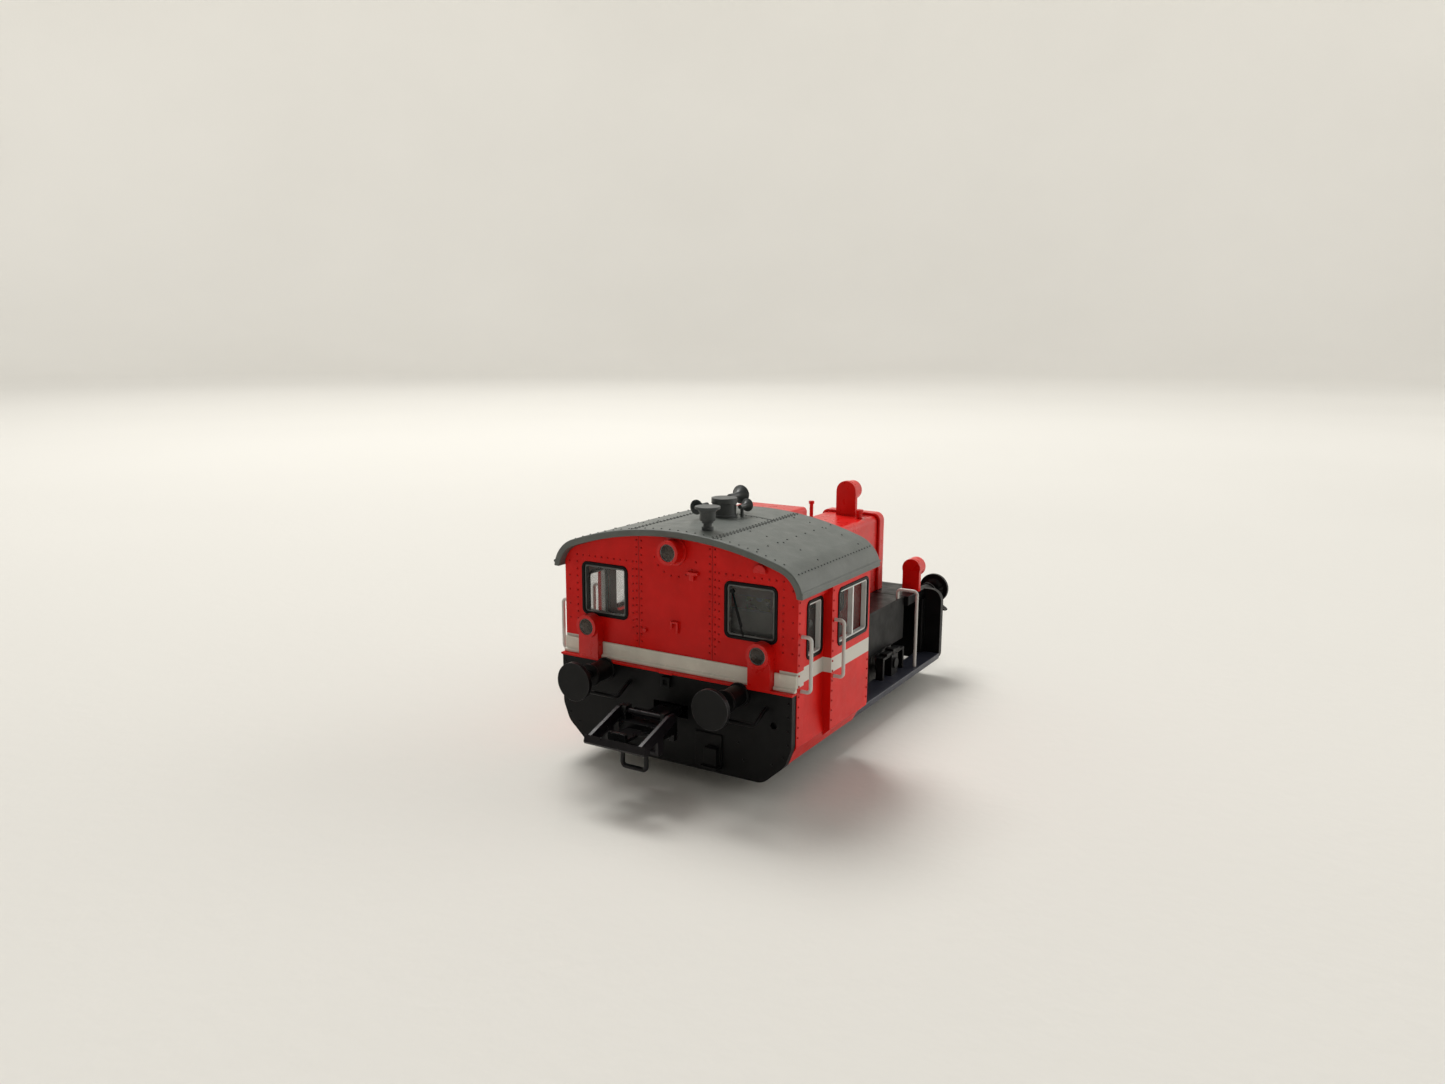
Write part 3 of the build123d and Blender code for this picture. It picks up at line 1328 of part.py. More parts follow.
def buffer_spring():
    """Return one coil spring between the plunger's collar and the beam."""
    collar_back = sleeve_front_x - sleeve_lip - 0.05 - collar_length
    length = collar_back - beam_x - 2 * spring_wire_radius - 0.06
    coil_radius = (shank_radius + collar_radius) / 2 + 0.04
    path = Helix(pitch=length / spring_coils, height=length, radius=coil_radius)
    start = Plane(origin=path @ 0, z_dir=path % 0)
    coil = sweep(start * Circle(spring_wire_radius), path=path, is_frenet=True)
    return Pos(beam_x + spring_wire_radius + 0.03, buffer_y, buffer_z) * Rot(0, 90, 0) * coil


# ---------------------------------------------------------------- couplers
def coupler_head():
    """Return the hood end's coupler: drawbar with its eye, head, ears and hook."""
    z0 = drawbar_z - drawbar_thickness / 2
    z1 = drawbar_z + drawbar_thickness / 2
    body = rod_z(z0, z1, pivot_x, 0, drawbar_eye_radius)
    body += block(pivot_x, head_rear_x + 0.5, -drawbar_half_width, drawbar_half_width, z0, z1)
    body -= rod_z(z0 - 1, z1 + 1, pivot_x, 0, pivot_pin_radius + running)
    body += block(head_rear_x, head_front_x, -head_half_width, head_half_width, rail + 6.8, rail + 8.4)
    body += block(head_rear_x, head_rear_x + 0.8, -head_half_width, head_half_width, rail + 5.9, rail + 9.0)
    for side in (-1, 1):
        y0 = side * (head_half_width - 0.65)
        y1 = side * head_half_width
        outline = [
            (bow_pivot_x - 0.8, rail + 8.3), (bow_pivot_x + 0.8, rail + 8.3),
            (bow_pivot_x + 0.6, bow_pivot_z + 0.7), (bow_pivot_x - 0.6, bow_pivot_z + 0.7),
        ]
        body += prism_y(outline, y0, y1)
    body -= rod_y(-9, 9, bow_pivot_x, bow_pivot_z, bow_pin_radius + running)
    plate_z = rail + 7.5
    root_x = head_front_x - 0.2
    tip_x = head_front_x + 3.9
    hook = block(root_x, tip_x, -0.7, 1.9, plate_z - 0.25, plate_z + 0.2)
    hook += block(tip_x - 0.5, tip_x, -0.7, 1.9, plate_z, plate_z + 0.9)
    gusset = [(root_x, -0.7), (root_x + 1.5, -0.7), (root_x + 0.6, -2.6), (root_x, -2.6)]
    hook += prism_z(gusset, plate_z - 0.25, plate_z + 0.2)
    return body + hook


def coupler_bow():
    """Return the hood end's bow: side arms on a pin, the front bar and the trip loop below."""
    y0 = bow_arm_inner_y
    y1 = bow_arm_inner_y + bow_arm_thickness
    low_z = rail + 5.8
    trip_x = bow_pivot_x + 2.5            # middle of the trip loop and of the bar that carries it
    arm = [
        (bow_pivot_x - 0.6, bow_pivot_z - 0.55), (bow_pivot_x - 0.6, bow_pivot_z + 0.6),
        (bow_pivot_x + 0.6, bow_pivot_z + 0.6), (bow_front_x - 0.2, rail + 7.95),
        (bow_front_x, rail + 6.9), (bow_front_x - 1.2, rail + 6.8), (trip_x + 0.6, rail + 7.4),
        (trip_x + 0.5, low_z - 0.2), (trip_x - 0.5, low_z - 0.2), (trip_x - 0.6, rail + 7.8),
    ]
    bow = rod_y(-y1, y1, bow_pivot_x, bow_pivot_z, bow_pin_radius)
    for side in (-1, 1):
        bow += prism_y(arm, side * y0, side * y1)
    wide = bow_bar_half_width
    bar = [
        (bow_front_x - 1.2, rail + 6.8), (bow_front_x - 0.1, rail + 6.8), (bow_front_x + 0.1, rail + 7.1),
        (bow_front_x - 0.2, rail + 7.95), (bow_front_x - 0.5, rail + 7.75), (bow_front_x - 1.2, rail + 7.15),
    ]
    bow += prism_y(bar, -wide, wide)
    bow += block(trip_x - 0.5, trip_x + 0.5, -y0 - 0.1, y0 + 0.1, low_z - 0.2, low_z + 0.2)
    foot_z = rail + 3.2
    loop_points = [
        (trip_x, -1.75, low_z), (trip_x, -1.75, foot_z), (trip_x, 1.75, foot_z), (trip_x, 1.75, low_z),
    ]
    return bow + wire_bar(loop_points, 0.5, 0.3)


# ---------------------------------------------------------------- build
def running_gear(name, side):
    """Write one wheelset and the idler that drives it."""
    idler_x = side * side_idler_x
    idler = gear(side_idler_teeth, idler_x, side_idler_z, side_gears(side)[0], gear_plane_y, gear_face)
    save(f"{name}_idler_gear", geared_shaft(idler, idler_x, side_idler_z))
    x = side * axle_x
    save(f"{name}_axle", [axle(x), axle_gear(side)])
    save(f"{name}_wheels", [wheel(x, -1), wheel(x, 1)])


def build():
    """Make every node and write it."""
    os.makedirs("parts", exist_ok=True)

    save("chassis_frame", chassis())
    save("keeper_plate", keeper())
    save("keeper_screws", keeper_screws())
    save("current_wipers", current_wipers())
    save("coupler_pivot_pins", pivot_pins())
    save("rear_buffer_beam", rear_beam())
    save("front_buffer_beam", front_beam())
    save("beam_fittings", beam_details() + shunter_grips())
    save("running_boards", both_sides(running_board()))
    save("side_tanks", both_sides(side_tank()))
    save("front_platform", [front_platform()] + platform_ribs())
    boxes = [piece for x in (-axle_x, axle_x) for piece in both_sides(axlebox(x))]
    save("axleboxes", boxes)
    save("brake_gear", [brake_set(-1), brake_set(1)])

    save("cab_body", cab_body())
    save("cab_stripe_bar", stripe_bar())
    save("cab_roof", cab_roof())
    save("cab_floor", cab_floor())
    save("cab_interior", [control_desk(), hand_wheel(), driver_seat()])
    save("window_rubbers", window_rubbers())
    save("window_frames", window_frames())
    save("window_panes", window_panes())
    save("rear_wiper", wiper())
    save("end_wall_fittings", end_wall_fittings())
    save("handrails", cab_rails() + deck_rails())

    save("rear_lamp_housings", rear_lamps())
    save("rear_lamp_lenses", rear_lenses())
    save("front_lamp_housings", front_lamps())
    save("front_lamp_lenses", front_lenses())
    save("roof_vents", [mushroom_vent(), fan_vent()])
    save("roof_horns", roof_horns())

    save("hood", hood())
    save("hood_cowl", cowl())
    save("radiator_grille", radiator_grille())
    save("radiator_surround", radiator_surround())
    save("hood_fittings", [exhaust_pipe(), filler_cap()])

    save("motor_can", motor_can())
    save("motor_cradle", motor_cradle())
    save("motor_rotor", motor_rotor())
    save("drive_worm", worm())
    save("worm_bearing_bracket", worm_bracket())
    save("circuit_board", circuit_board())

    save("worm_wheel_gear", worm_wheel())
    centre = gear(centre_idler_teeth, 0, centre_idler_z, centre_idler_phase, gear_plane_y, gear_face)
    save("centre_idler_gear", geared_shaft(centre, 0, centre_idler_z))
    running_gear("rear", -1)
    running_gear("front", 1)

    sleeves = [piece for sleeve in both_sides(buffer_sleeve()) for piece in both_ends(sleeve)]
    save("buffer_sleeves", sleeves)
    springs = [piece for spring in both_sides(buffer_spring()) for piece in both_ends(spring)]
    save("buffer_springs", springs)
    for side_name, plunger in zip(("left", "right"), both_sides(buffer_plunger())):
        for end_name, piece in zip(("front", "rear"), both_ends(plunger)):
            save(f"{end_name}_{side_name}_buffer", piece)
    for end_name, head in zip(("front", "rear"), both_ends(coupler_head())):
        save(f"{end_name}_coupler_head", head)
    for end_name, bow in zip(("front", "rear"), both_ends(coupler_bow())):
        save(f"{end_name}_coupler_bow", bow)


build()
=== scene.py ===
"""Looks of a 1:87 two-axle diesel shunter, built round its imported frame.

Lengths in the classes are metres. Heights are counted from the surface the wheels stand on.
"""

import json
import logging
import math
from dataclasses import dataclass, field
from enum import Enum

import bmesh
import bpy
import numpy as np
from mathutils import Matrix, Vector

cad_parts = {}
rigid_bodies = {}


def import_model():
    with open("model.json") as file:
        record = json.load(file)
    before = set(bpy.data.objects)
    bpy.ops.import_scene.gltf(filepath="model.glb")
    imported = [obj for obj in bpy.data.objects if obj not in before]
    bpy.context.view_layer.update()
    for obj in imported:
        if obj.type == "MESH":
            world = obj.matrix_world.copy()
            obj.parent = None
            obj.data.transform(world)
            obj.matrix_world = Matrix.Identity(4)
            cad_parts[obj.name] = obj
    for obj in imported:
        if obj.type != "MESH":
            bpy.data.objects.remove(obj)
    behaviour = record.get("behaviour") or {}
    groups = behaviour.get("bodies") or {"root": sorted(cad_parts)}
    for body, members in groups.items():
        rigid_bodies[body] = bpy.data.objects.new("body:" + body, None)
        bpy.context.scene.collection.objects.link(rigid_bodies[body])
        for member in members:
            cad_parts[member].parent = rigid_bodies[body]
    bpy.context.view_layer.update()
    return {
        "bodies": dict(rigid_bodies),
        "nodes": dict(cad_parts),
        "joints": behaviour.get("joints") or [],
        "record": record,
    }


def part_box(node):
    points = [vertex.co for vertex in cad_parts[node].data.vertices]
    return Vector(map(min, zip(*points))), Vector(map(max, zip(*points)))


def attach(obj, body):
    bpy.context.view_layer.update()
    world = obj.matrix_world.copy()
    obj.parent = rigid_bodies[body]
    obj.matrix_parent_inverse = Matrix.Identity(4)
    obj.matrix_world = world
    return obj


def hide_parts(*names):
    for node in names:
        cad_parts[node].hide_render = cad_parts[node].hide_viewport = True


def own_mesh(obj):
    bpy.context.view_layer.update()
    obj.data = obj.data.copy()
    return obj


MM = 0.001
LOG = logging.getLogger("shunter")
Triple = tuple[float, float, float]
Colour = Triple
Socket = bpy.types.NodeSocket
MeshArrays = tuple[np.ndarray, np.ndarray]
ENDS = (("front", 1), ("rear", -1))
SIDES = (("left", 1), ("right", -1))


# ---- meshes
def mesh_object(name: str, points: np.ndarray, faces: np.ndarray | list) -> bpy.types.Object:
    """Put arrays into a mesh object that sits at the origin.

    Args:
        name: Name of the piece.
        points: (n, 3) array of places in metres.
        faces: Rows of point numbers, anticlockwise seen from outside.

    Returns:
        The new object, linked to the scene.
    """
    mesh = bpy.data.meshes.new(name)
    rows = faces.tolist() if isinstance(faces, np.ndarray) else faces
    mesh.from_pydata(points.tolist(), [], rows)
    mesh.update()
    piece = bpy.data.objects.new(name, mesh)
    bpy.context.scene.collection.objects.link(piece)
    return piece


def grid_faces(rows: int, columns: int, wrap: bool) -> np.ndarray:
    """Number the quads of a grid of points.

    Args:
        rows: Points along the first parameter.
        columns: Points along the second parameter.
        wrap: Whether the last column joins the first.

    Returns:
        (m, 4) array of point numbers.
    """
    across = columns if wrap else columns - 1
    i, j = np.meshgrid(np.arange(rows - 1), np.arange(across), indexing="ij")
    nxt = (j + 1) % columns
    quads = np.stack([i * columns + j, i * columns + nxt, (i + 1) * columns + nxt, (i + 1) * columns + j], -1)
    return quads.reshape(-1, 4)


def lathe(profile: np.ndarray, centre: Vector, axis: str, segments: int) -> MeshArrays:
    """Turn a profile about an axis: point = centre + u * axis + r * (cos a, sin a) across it.

    Args:
        profile: (n, 2) array of (u along the axis, radius r).
        centre: A point on the axis.
        axis: "X", "Y" or "Z".
        segments: Steps of the angle a round the axis.

    Returns:
        Points and quads; a radius of zero closes the surface on the axis.
    """
    angle = np.linspace(0, 2 * np.pi, segments, endpoint=False)
    u = np.repeat(profile[:, 0], segments)
    r = np.repeat(profile[:, 1], segments)
    a = np.tile(angle, len(profile))
    order = {"X": (0, 1, 2), "Y": (1, 2, 0), "Z": (2, 0, 1)}[axis]
    points = np.zeros((len(u), 3))
    points[:, order[0]] = u
    points[:, order[1]] = r * np.cos(a)
    points[:, order[2]] = r * np.sin(a)
    return points + np.array(centre), grid_faces(len(profile), segments, True)


def domes(places: np.ndarray, normals: np.ndarray, radius: float, height: float) -> MeshArrays:
    """Set a small dome on each place: r = radius * cos t, h = height * sin t for t from 0 to 90 degrees.

    Args:
        places: (n, 3) feet of the domes.
        normals: (n, 3) outward directions.
        radius: Foot radius.
        height: Height above the surface.

    Returns:
        Points and quads of all the domes together.
    """
    sides, rings = 8, 3
    t = np.linspace(0, np.pi / 2 * 0.96, rings)
    a = np.linspace(0, 2 * np.pi, sides, endpoint=False)
    sink = 0.35 * height
    r = np.concatenate([[radius], radius * np.cos(t)])
    h = np.concatenate([[-sink], height * np.sin(t)])
    local = np.stack([
        np.outer(r, np.cos(a)).ravel(), np.outer(r, np.sin(a)).ravel(), np.repeat(h, sides)
    ], -1)
    n = normals / np.linalg.norm(normals, axis=1, keepdims=True)
    helper = np.where(np.abs(n[:, 2:3]) < 0.9, [[0.0, 0.0, 1.0]], [[1.0, 0.0, 0.0]])
    u = np.cross(helper, n)
    u /= np.linalg.norm(u, axis=1, keepdims=True)
    v = np.cross(n, u)
    points = (
        places[:, None, :] + local[None, :, 0:1] * u[:, None, :]
        + local[None, :, 1:2] * v[:, None, :] + local[None, :, 2:3] * n[:, None, :]
    )
    quads = grid_faces(rings + 1, sides, True)
    cap = np.arange(sides) + rings * sides
    caps = np.stack([np.full(sides - 2, cap[0]), cap[1:-1], cap[2:], cap[2:]], -1)
    base = np.concatenate([quads, caps])
    step = (rings + 1) * sides
    faces = (base[None] + (np.arange(len(places)) * step)[:, None, None]).reshape(-1, 4)
    return points.reshape(-1, 3), faces


def clean_faces(faces: np.ndarray) -> list:
    """Drop the repeated last corner of quads that stand for triangles."""
    return [row[:3] if row[2] == row[3] else row for row in faces.tolist()]


def join(parts: list[MeshArrays]) -> tuple[np.ndarray, list]:
    """Put several (points, faces) pairs into one.

    Args:
        parts: The pairs.

    Returns:
        All points, and all faces with their numbers moved on.
    """
    points = np.concatenate([p for p, _ in parts])
    starts = np.cumsum([0] + [len(p) for p, _ in parts[:-1]])
    faces: list = []
    for (_, rows), start in zip(parts, starts):
        faces += clean_faces(np.asarray(rows) + start)
    return points, faces


def bar(start: np.ndarray, end: np.ndarray, width: float, height: float, up: np.ndarray) -> MeshArrays:
    """Run a strip with a rounded top between two points: height * sqrt(1 - s^2) for s from -1 to 1 across it.

    Args:
        start: One end, on the surface.
        end: The other end.
        width: Width across.
        height: Height of its crown.
        up: Outward direction.

    Returns:
        Points and quads of the strip.
    """
    along = (end - start) / np.linalg.norm(end - start)
    up = up / np.linalg.norm(up)
    side = np.cross(up, along)
    s = np.cos(np.linspace(0, np.pi, 7))
    rise = height * np.sqrt(np.maximum(0, 1 - s**2))
    rise[[0, -1]] = -0.4 * height
    offset = s[:, None] * side[None] * width / 2 + rise[:, None] * up[None]
    points = np.concatenate([start + offset, end + offset])
    quads = grid_faces(2, 7, True)
    caps = np.array([
        [0, 1, 2, 3], [0, 3, 4, 5], [0, 5, 6, 6], [10, 9, 8, 7], [12, 11, 10, 7], [13, 12, 7, 7],
    ])
    return points, np.concatenate([quads, caps])


def spaced(start: float, end: float, step: float) -> np.ndarray:
    """Return even places from start to end, as near to a step apart as they fit."""
    return np.linspace(start, end, max(2, round(abs(end - start) / step) + 1))


# ---- finishes
class Surface(Enum):
    """How fine the grain of a finish is."""

    SPRAYED = "sprayed paint on moulded plastic"
    MATT = "matt paint with a dusty bloom"
    MOULDED = "bare moulded plastic"
    TURNED = "turned or rolled metal"
    CAST = "blackened casting"


@dataclass(frozen=True)
class Grain:
    """Scales and strengths of a surface's relief, per metre and in metres."""

    fine: float
    coarse: float
    depth: float
    roughness_spread: float
    stretch: Triple = (1.0, 1.0, 1.0)


GRAINS: dict[Surface, Grain] = {
    Surface.SPRAYED: Grain(5200, 320, 0.9e-5, 0.10),
    Surface.MATT: Grain(7000, 260, 1.6e-5, 0.14),
    Surface.MOULDED: Grain(4200, 240, 1.2e-5, 0.16),
    Surface.TURNED: Grain(9000, 300, 0.6e-5, 0.12, (1.0, 1.0, 0.15)),
    Surface.CAST: Grain(3000, 500, 2.4e-5, 0.2),
}


class Nodes:
    """A material's node tree, with short names for what this scene adds to it."""

    def __init__(self, name: str) -> None:
        """Start a node material with a shader and nothing else.

        Args:
            name: Name of the material.
        """
        self.material = bpy.data.materials.new(name)
        self.material.use_nodes = True
        self.tree = self.material.node_tree
        self.tree.nodes.clear()
        self.output = self.node("OutputMaterial")
        self.shader = self.node("BsdfPrincipled")
        self.link(self.shader.outputs[0], self.output.inputs[0])
        self.coords = self.node("TexCoord").outputs["Object"]

    def node(self, kind: str) -> bpy.types.Node:
        """Add a shader node of a kind."""
        return self.tree.nodes.new(f"ShaderNode{kind}")

    def link(self, a: Socket, b: Socket) -> None:
        """Join two sockets."""
        self.tree.links.new(a, b)

    def noise(self, scale: float, detail: float = 3, stretch: Triple = (1, 1, 1)) -> Socket:
        """Add a noise pattern on object coordinates.

        Args:
            scale: Features per metre.
            detail: Octaves.
            stretch: Scale along each axis.

        Returns:
            The grey output.
        """
        mapping = self.node("Mapping")
        mapping.inputs["Scale"].default_value = stretch
        self.link(self.coords, mapping.inputs[0])
        node = self.node("TexNoise")
        node.inputs["Scale"].default_value = scale
        node.inputs["Detail"].default_value = detail
        self.link(mapping.outputs[0], node.inputs["Vector"])
        return node.outputs[0]

    def ranged(self, value: Socket, low: float, high: float, out_low: float, out_high: float) -> Socket:
        """Map a value from one range to another, held at the ends.

        Args:
            value: What to map.
            low: Start of its range.
            high: End of its range.
            out_low: What the start becomes.
            out_high: What the end becomes.

        Returns:
            The mapped value.
        """
        node = self.node("MapRange")
        limits = {"From Min": low, "From Max": high, "To Min": out_low, "To Max": out_high}
        for socket, number in limits.items():
            node.inputs[socket].default_value = number
        self.link(value, node.inputs["Value"])
        return node.outputs[0]

    def math(self, kind: str, a: Socket, b: Socket | float) -> Socket:
        """Work out a value from another and a second value or number.

        Args:
            kind: The operation's name.
            a: First value.
            b: Second value or number.

        Returns:
            The result.
        """
        node = self.node("Math")
        node.operation = kind
        self.link(a, node.inputs[0])
        if isinstance(b, (int, float)):
            node.inputs[1].default_value = b
        else:
            self.link(b, node.inputs[1])
        return node.outputs[0]

    def mixed(self, share: Socket, a: Colour | Socket, b: Colour | Socket) -> Socket:
        """Mix two colours.

        Args:
            share: 0 for all of the first, 1 for all of the second.
            a: First colour.
            b: Second colour.

        Returns:
            The mixed colour.
        """
        node = self.node("Mix")
        node.data_type = "RGBA"
        self.link(share, node.inputs[0])
        for socket, value in ((node.inputs[6], a), (node.inputs[7], b)):
            if isinstance(value, tuple):
                socket.default_value = (*value, 1)
            else:
                self.link(value, socket)
        return node.outputs[2]

    def edges(self, radius: float) -> Socket:
        """Find the edges, from how far the shader's rounded normal leans from the true one.

        Args:
            radius: How far from an edge it reaches, in metres.

        Returns:
            1 on outer and inner edges, 0 on flat ground.
        """
        bevel = self.node("Bevel")
        bevel.samples = 4
        bevel.inputs["Radius"].default_value = radius
        geometry = self.node("NewGeometry")
        dot = self.node("VectorMath")
        dot.operation = "DOT_PRODUCT"
        self.link(bevel.outputs[0], dot.inputs[0])
        self.link(geometry.outputs["Normal"], dot.inputs[1])
        return self.ranged(dot.outputs["Value"], 0.90, 0.995, 1, 0)

    def relief(self, heights: list[tuple[Socket, float]]) -> None:
        """Chain bumps onto the shader's normal.

        Args:
            heights: Height patterns, each with its depth in metres.
        """
        normal = None
        for value, depth in heights:
            bump = self.node("Bump")
            bump.inputs["Distance"].default_value = depth
            bump.inputs["Strength"].default_value = 1.0
            self.link(value, bump.inputs["Height"])
            if normal is not None:
                self.link(normal, bump.inputs["Normal"])
            normal = bump.outputs[0]
        self.link(normal, self.shader.inputs["Normal"])

    def band(self, axis: str, low: float, high: float) -> Socket:
        """Mark where a coordinate lies between two places; along Y it is the distance from the middle.

        Args:
            axis: "X", "Y" or "Z".
            low: Lower place in metres.
            high: Upper place in metres.

        Returns:
            1 between the places, 0 elsewhere.
        """
        split = self.node("SeparateXYZ")
        self.link(self.coords, split.inputs[0])
        value = split.outputs[axis]
        if axis == "Y":
            value = self.math("ABSOLUTE", value, 0.0)
        soft = 0.00002
        above = self.ranged(value, low - soft, low + soft, 0, 1)
        below = self.ranged(value, high - soft, high + soft, 1, 0)
        return self.math("MULTIPLY", above, below)


@dataclass(frozen=True)
class Finish:
    """A paint, plastic or metal: colour, edge wear with a painted highlight rim on the buffers, grain and
    gloss.
    """

    name: str
    colour: Colour
    edge_wear_and_highlight: Colour
    roughness: float
    surface: Surface
    metallic: float = 0.0
    edge_wear_and_highlight_share: float = 0.35
    specular: float = 0.5
    mottle: float = 0.1

    def start(self) -> tuple[Nodes, Socket]:
        """Lay the colour with its cloudiness, dust, worn edges, and on the buffers a painted highlight rim.

        Returns:
            The tree and the socket with the finished colour.
        """
        grain = GRAINS[self.surface]
        nodes = Nodes(self.name)
        cloud = nodes.ranged(nodes.noise(grain.coarse, 4), 0.3, 0.7, 0, 1)
        darker = tuple(c * (1 - self.mottle) for c in self.colour)
        lighter = tuple(min(1.0, c * (1 + 0.7 * self.mottle) + 0.003) for c in self.colour)
        base = nodes.mixed(cloud, darker, lighter)
        fleck = nodes.ranged(nodes.noise(grain.fine * 0.35, 2), 0.62, 0.78, 0, 0.35)
        base = nodes.mixed(fleck, base, tuple(min(1.0, c * 1.3 + 0.002) for c in self.colour))
        # Edge colour: wear on most finishes; on the buffer heads it is also a painted highlight rim.
        rub = nodes.ranged(nodes.noise(grain.coarse * 4, 3), 0.35, 0.65, 0.15, self.edge_wear_and_highlight_share)
        edge_wear_and_highlight_mask = nodes.math("MULTIPLY", nodes.edges(0.00011), rub)
        base = nodes.mixed(edge_wear_and_highlight_mask, base, self.edge_wear_and_highlight)
        gloss = nodes.noise(grain.coarse * 2.2, 4)
        spread = grain.roughness_spread / 2
        rough = nodes.ranged(gloss, 0.3, 0.7, max(0.03, self.roughness - spread), self.roughness + spread)
        nodes.link(rough, nodes.shader.inputs["Roughness"])
        nodes.shader.inputs["Metallic"].default_value = self.metallic
        nodes.shader.inputs["Specular IOR Level"].default_value = self.specular
        fine = nodes.noise(grain.fine, 2, grain.stretch)
        nodes.relief([(fine, grain.depth), (nodes.noise(grain.coarse * 3, 2), grain.depth * 1.6)])
        return nodes, base

    def make(self) -> bpy.types.Material:
        """Return the finished material."""
        nodes, base = self.start()
        nodes.link(base, nodes.shader.inputs["Base Color"])
        return nodes.material


@dataclass(frozen=True)
class BandedFinish(Finish):
    """A finish with a second colour on what lies beside the middle plane, between two heights."""

    band_low: float = 0.0
    band_high: float = 1.0
    side_from: float = 0.015
    second: Colour = (0.62, 0.60, 0.545)

    def make(self) -> bpy.types.Material:
        """Add the band, on the sides only.

        Returns:
            The finished material.
        """
        nodes, base = self.start()
        height = nodes.band("Z", self.band_low, self.band_high)
        sides = nodes.band("Y", self.side_from, 1.0)
        mask = nodes.math("MULTIPLY", height, sides)
        cloud = nodes.ranged(nodes.noise(500, 4), 0.3, 0.7, 0, 1)
        banded = nodes.mixed(cloud, tuple(c * 0.93 for c in self.second), self.second)
        nodes.link(nodes.mixed(mask, base, banded), nodes.shader.inputs["Base Color"])
        return nodes.material


@dataclass(frozen=True)
class CabPaint(BandedFinish):
    """The cab's red with its off-white band, and grey on everything inside the walls."""

    inside: Colour = (0.40, 0.42, 0.405)
    inside_rear: float = -0.02816
    inside_front: float = -0.01043
    inside_side: float = 0.01606

    def make(self) -> bpy.types.Material:
        """Add the band outside and the lining within the walls.

        Returns:
            The finished material.
        """
        nodes, base = self.start()
        height = nodes.band("Z", self.band_low, self.band_high)
        mask = nodes.math("MULTIPLY", height, nodes.band("Y", self.side_from, 1.0))
        coat = nodes.mixed(mask, base, self.second)
        length = nodes.band("X", self.inside_rear, self.inside_front)
        within = nodes.math("MULTIPLY", length, nodes.band("Y", -1.0, self.inside_side))
        cloud = nodes.ranged(nodes.noise(300, 4), 0.3, 0.7, 0, 1)
        lining = nodes.mixed(cloud, tuple(c * 0.9 for c in self.inside), self.inside)
        nodes.link(nodes.mixed(within, coat, lining), nodes.shader.inputs["Base Color"])
        return nodes.material


@dataclass(frozen=True)
class ClearFinish:
    """Clear moulded plastic, faintly tinted, with moulding ripples and dust."""

    name: str
    tint: Colour
    alpha: float
    roughness: float
    dust: float = 0.04

    def make(self) -> bpy.types.Material:
        """Lay the tint with its haze, dust veil and ripples.

        Returns:
            The see-through material.
        """
        nodes = Nodes(self.name)
        haze = nodes.ranged(nodes.noise(220, 4), 0.35, 0.7, 0, 1)
        dust = tuple(min(1.0, c * 1.25 + self.dust) for c in self.tint)
        nodes.link(nodes.mixed(haze, self.tint, dust), nodes.shader.inputs["Base Color"])
        veil = nodes.ranged(nodes.noise(700, 3), 0.3, 0.8, self.alpha * 0.8, self.alpha * 1.25)
        nodes.link(veil, nodes.shader.inputs["Alpha"])
        nodes.link(nodes.ranged(nodes.noise(900, 3), 0.3, 0.7, self.roughness, self.roughness + 0.06),
                   nodes.shader.inputs["Roughness"])
        nodes.shader.inputs["IOR"].default_value = 1.49
        nodes.relief([(nodes.noise(350, 1), 2.0e-5)])
        return nodes.material


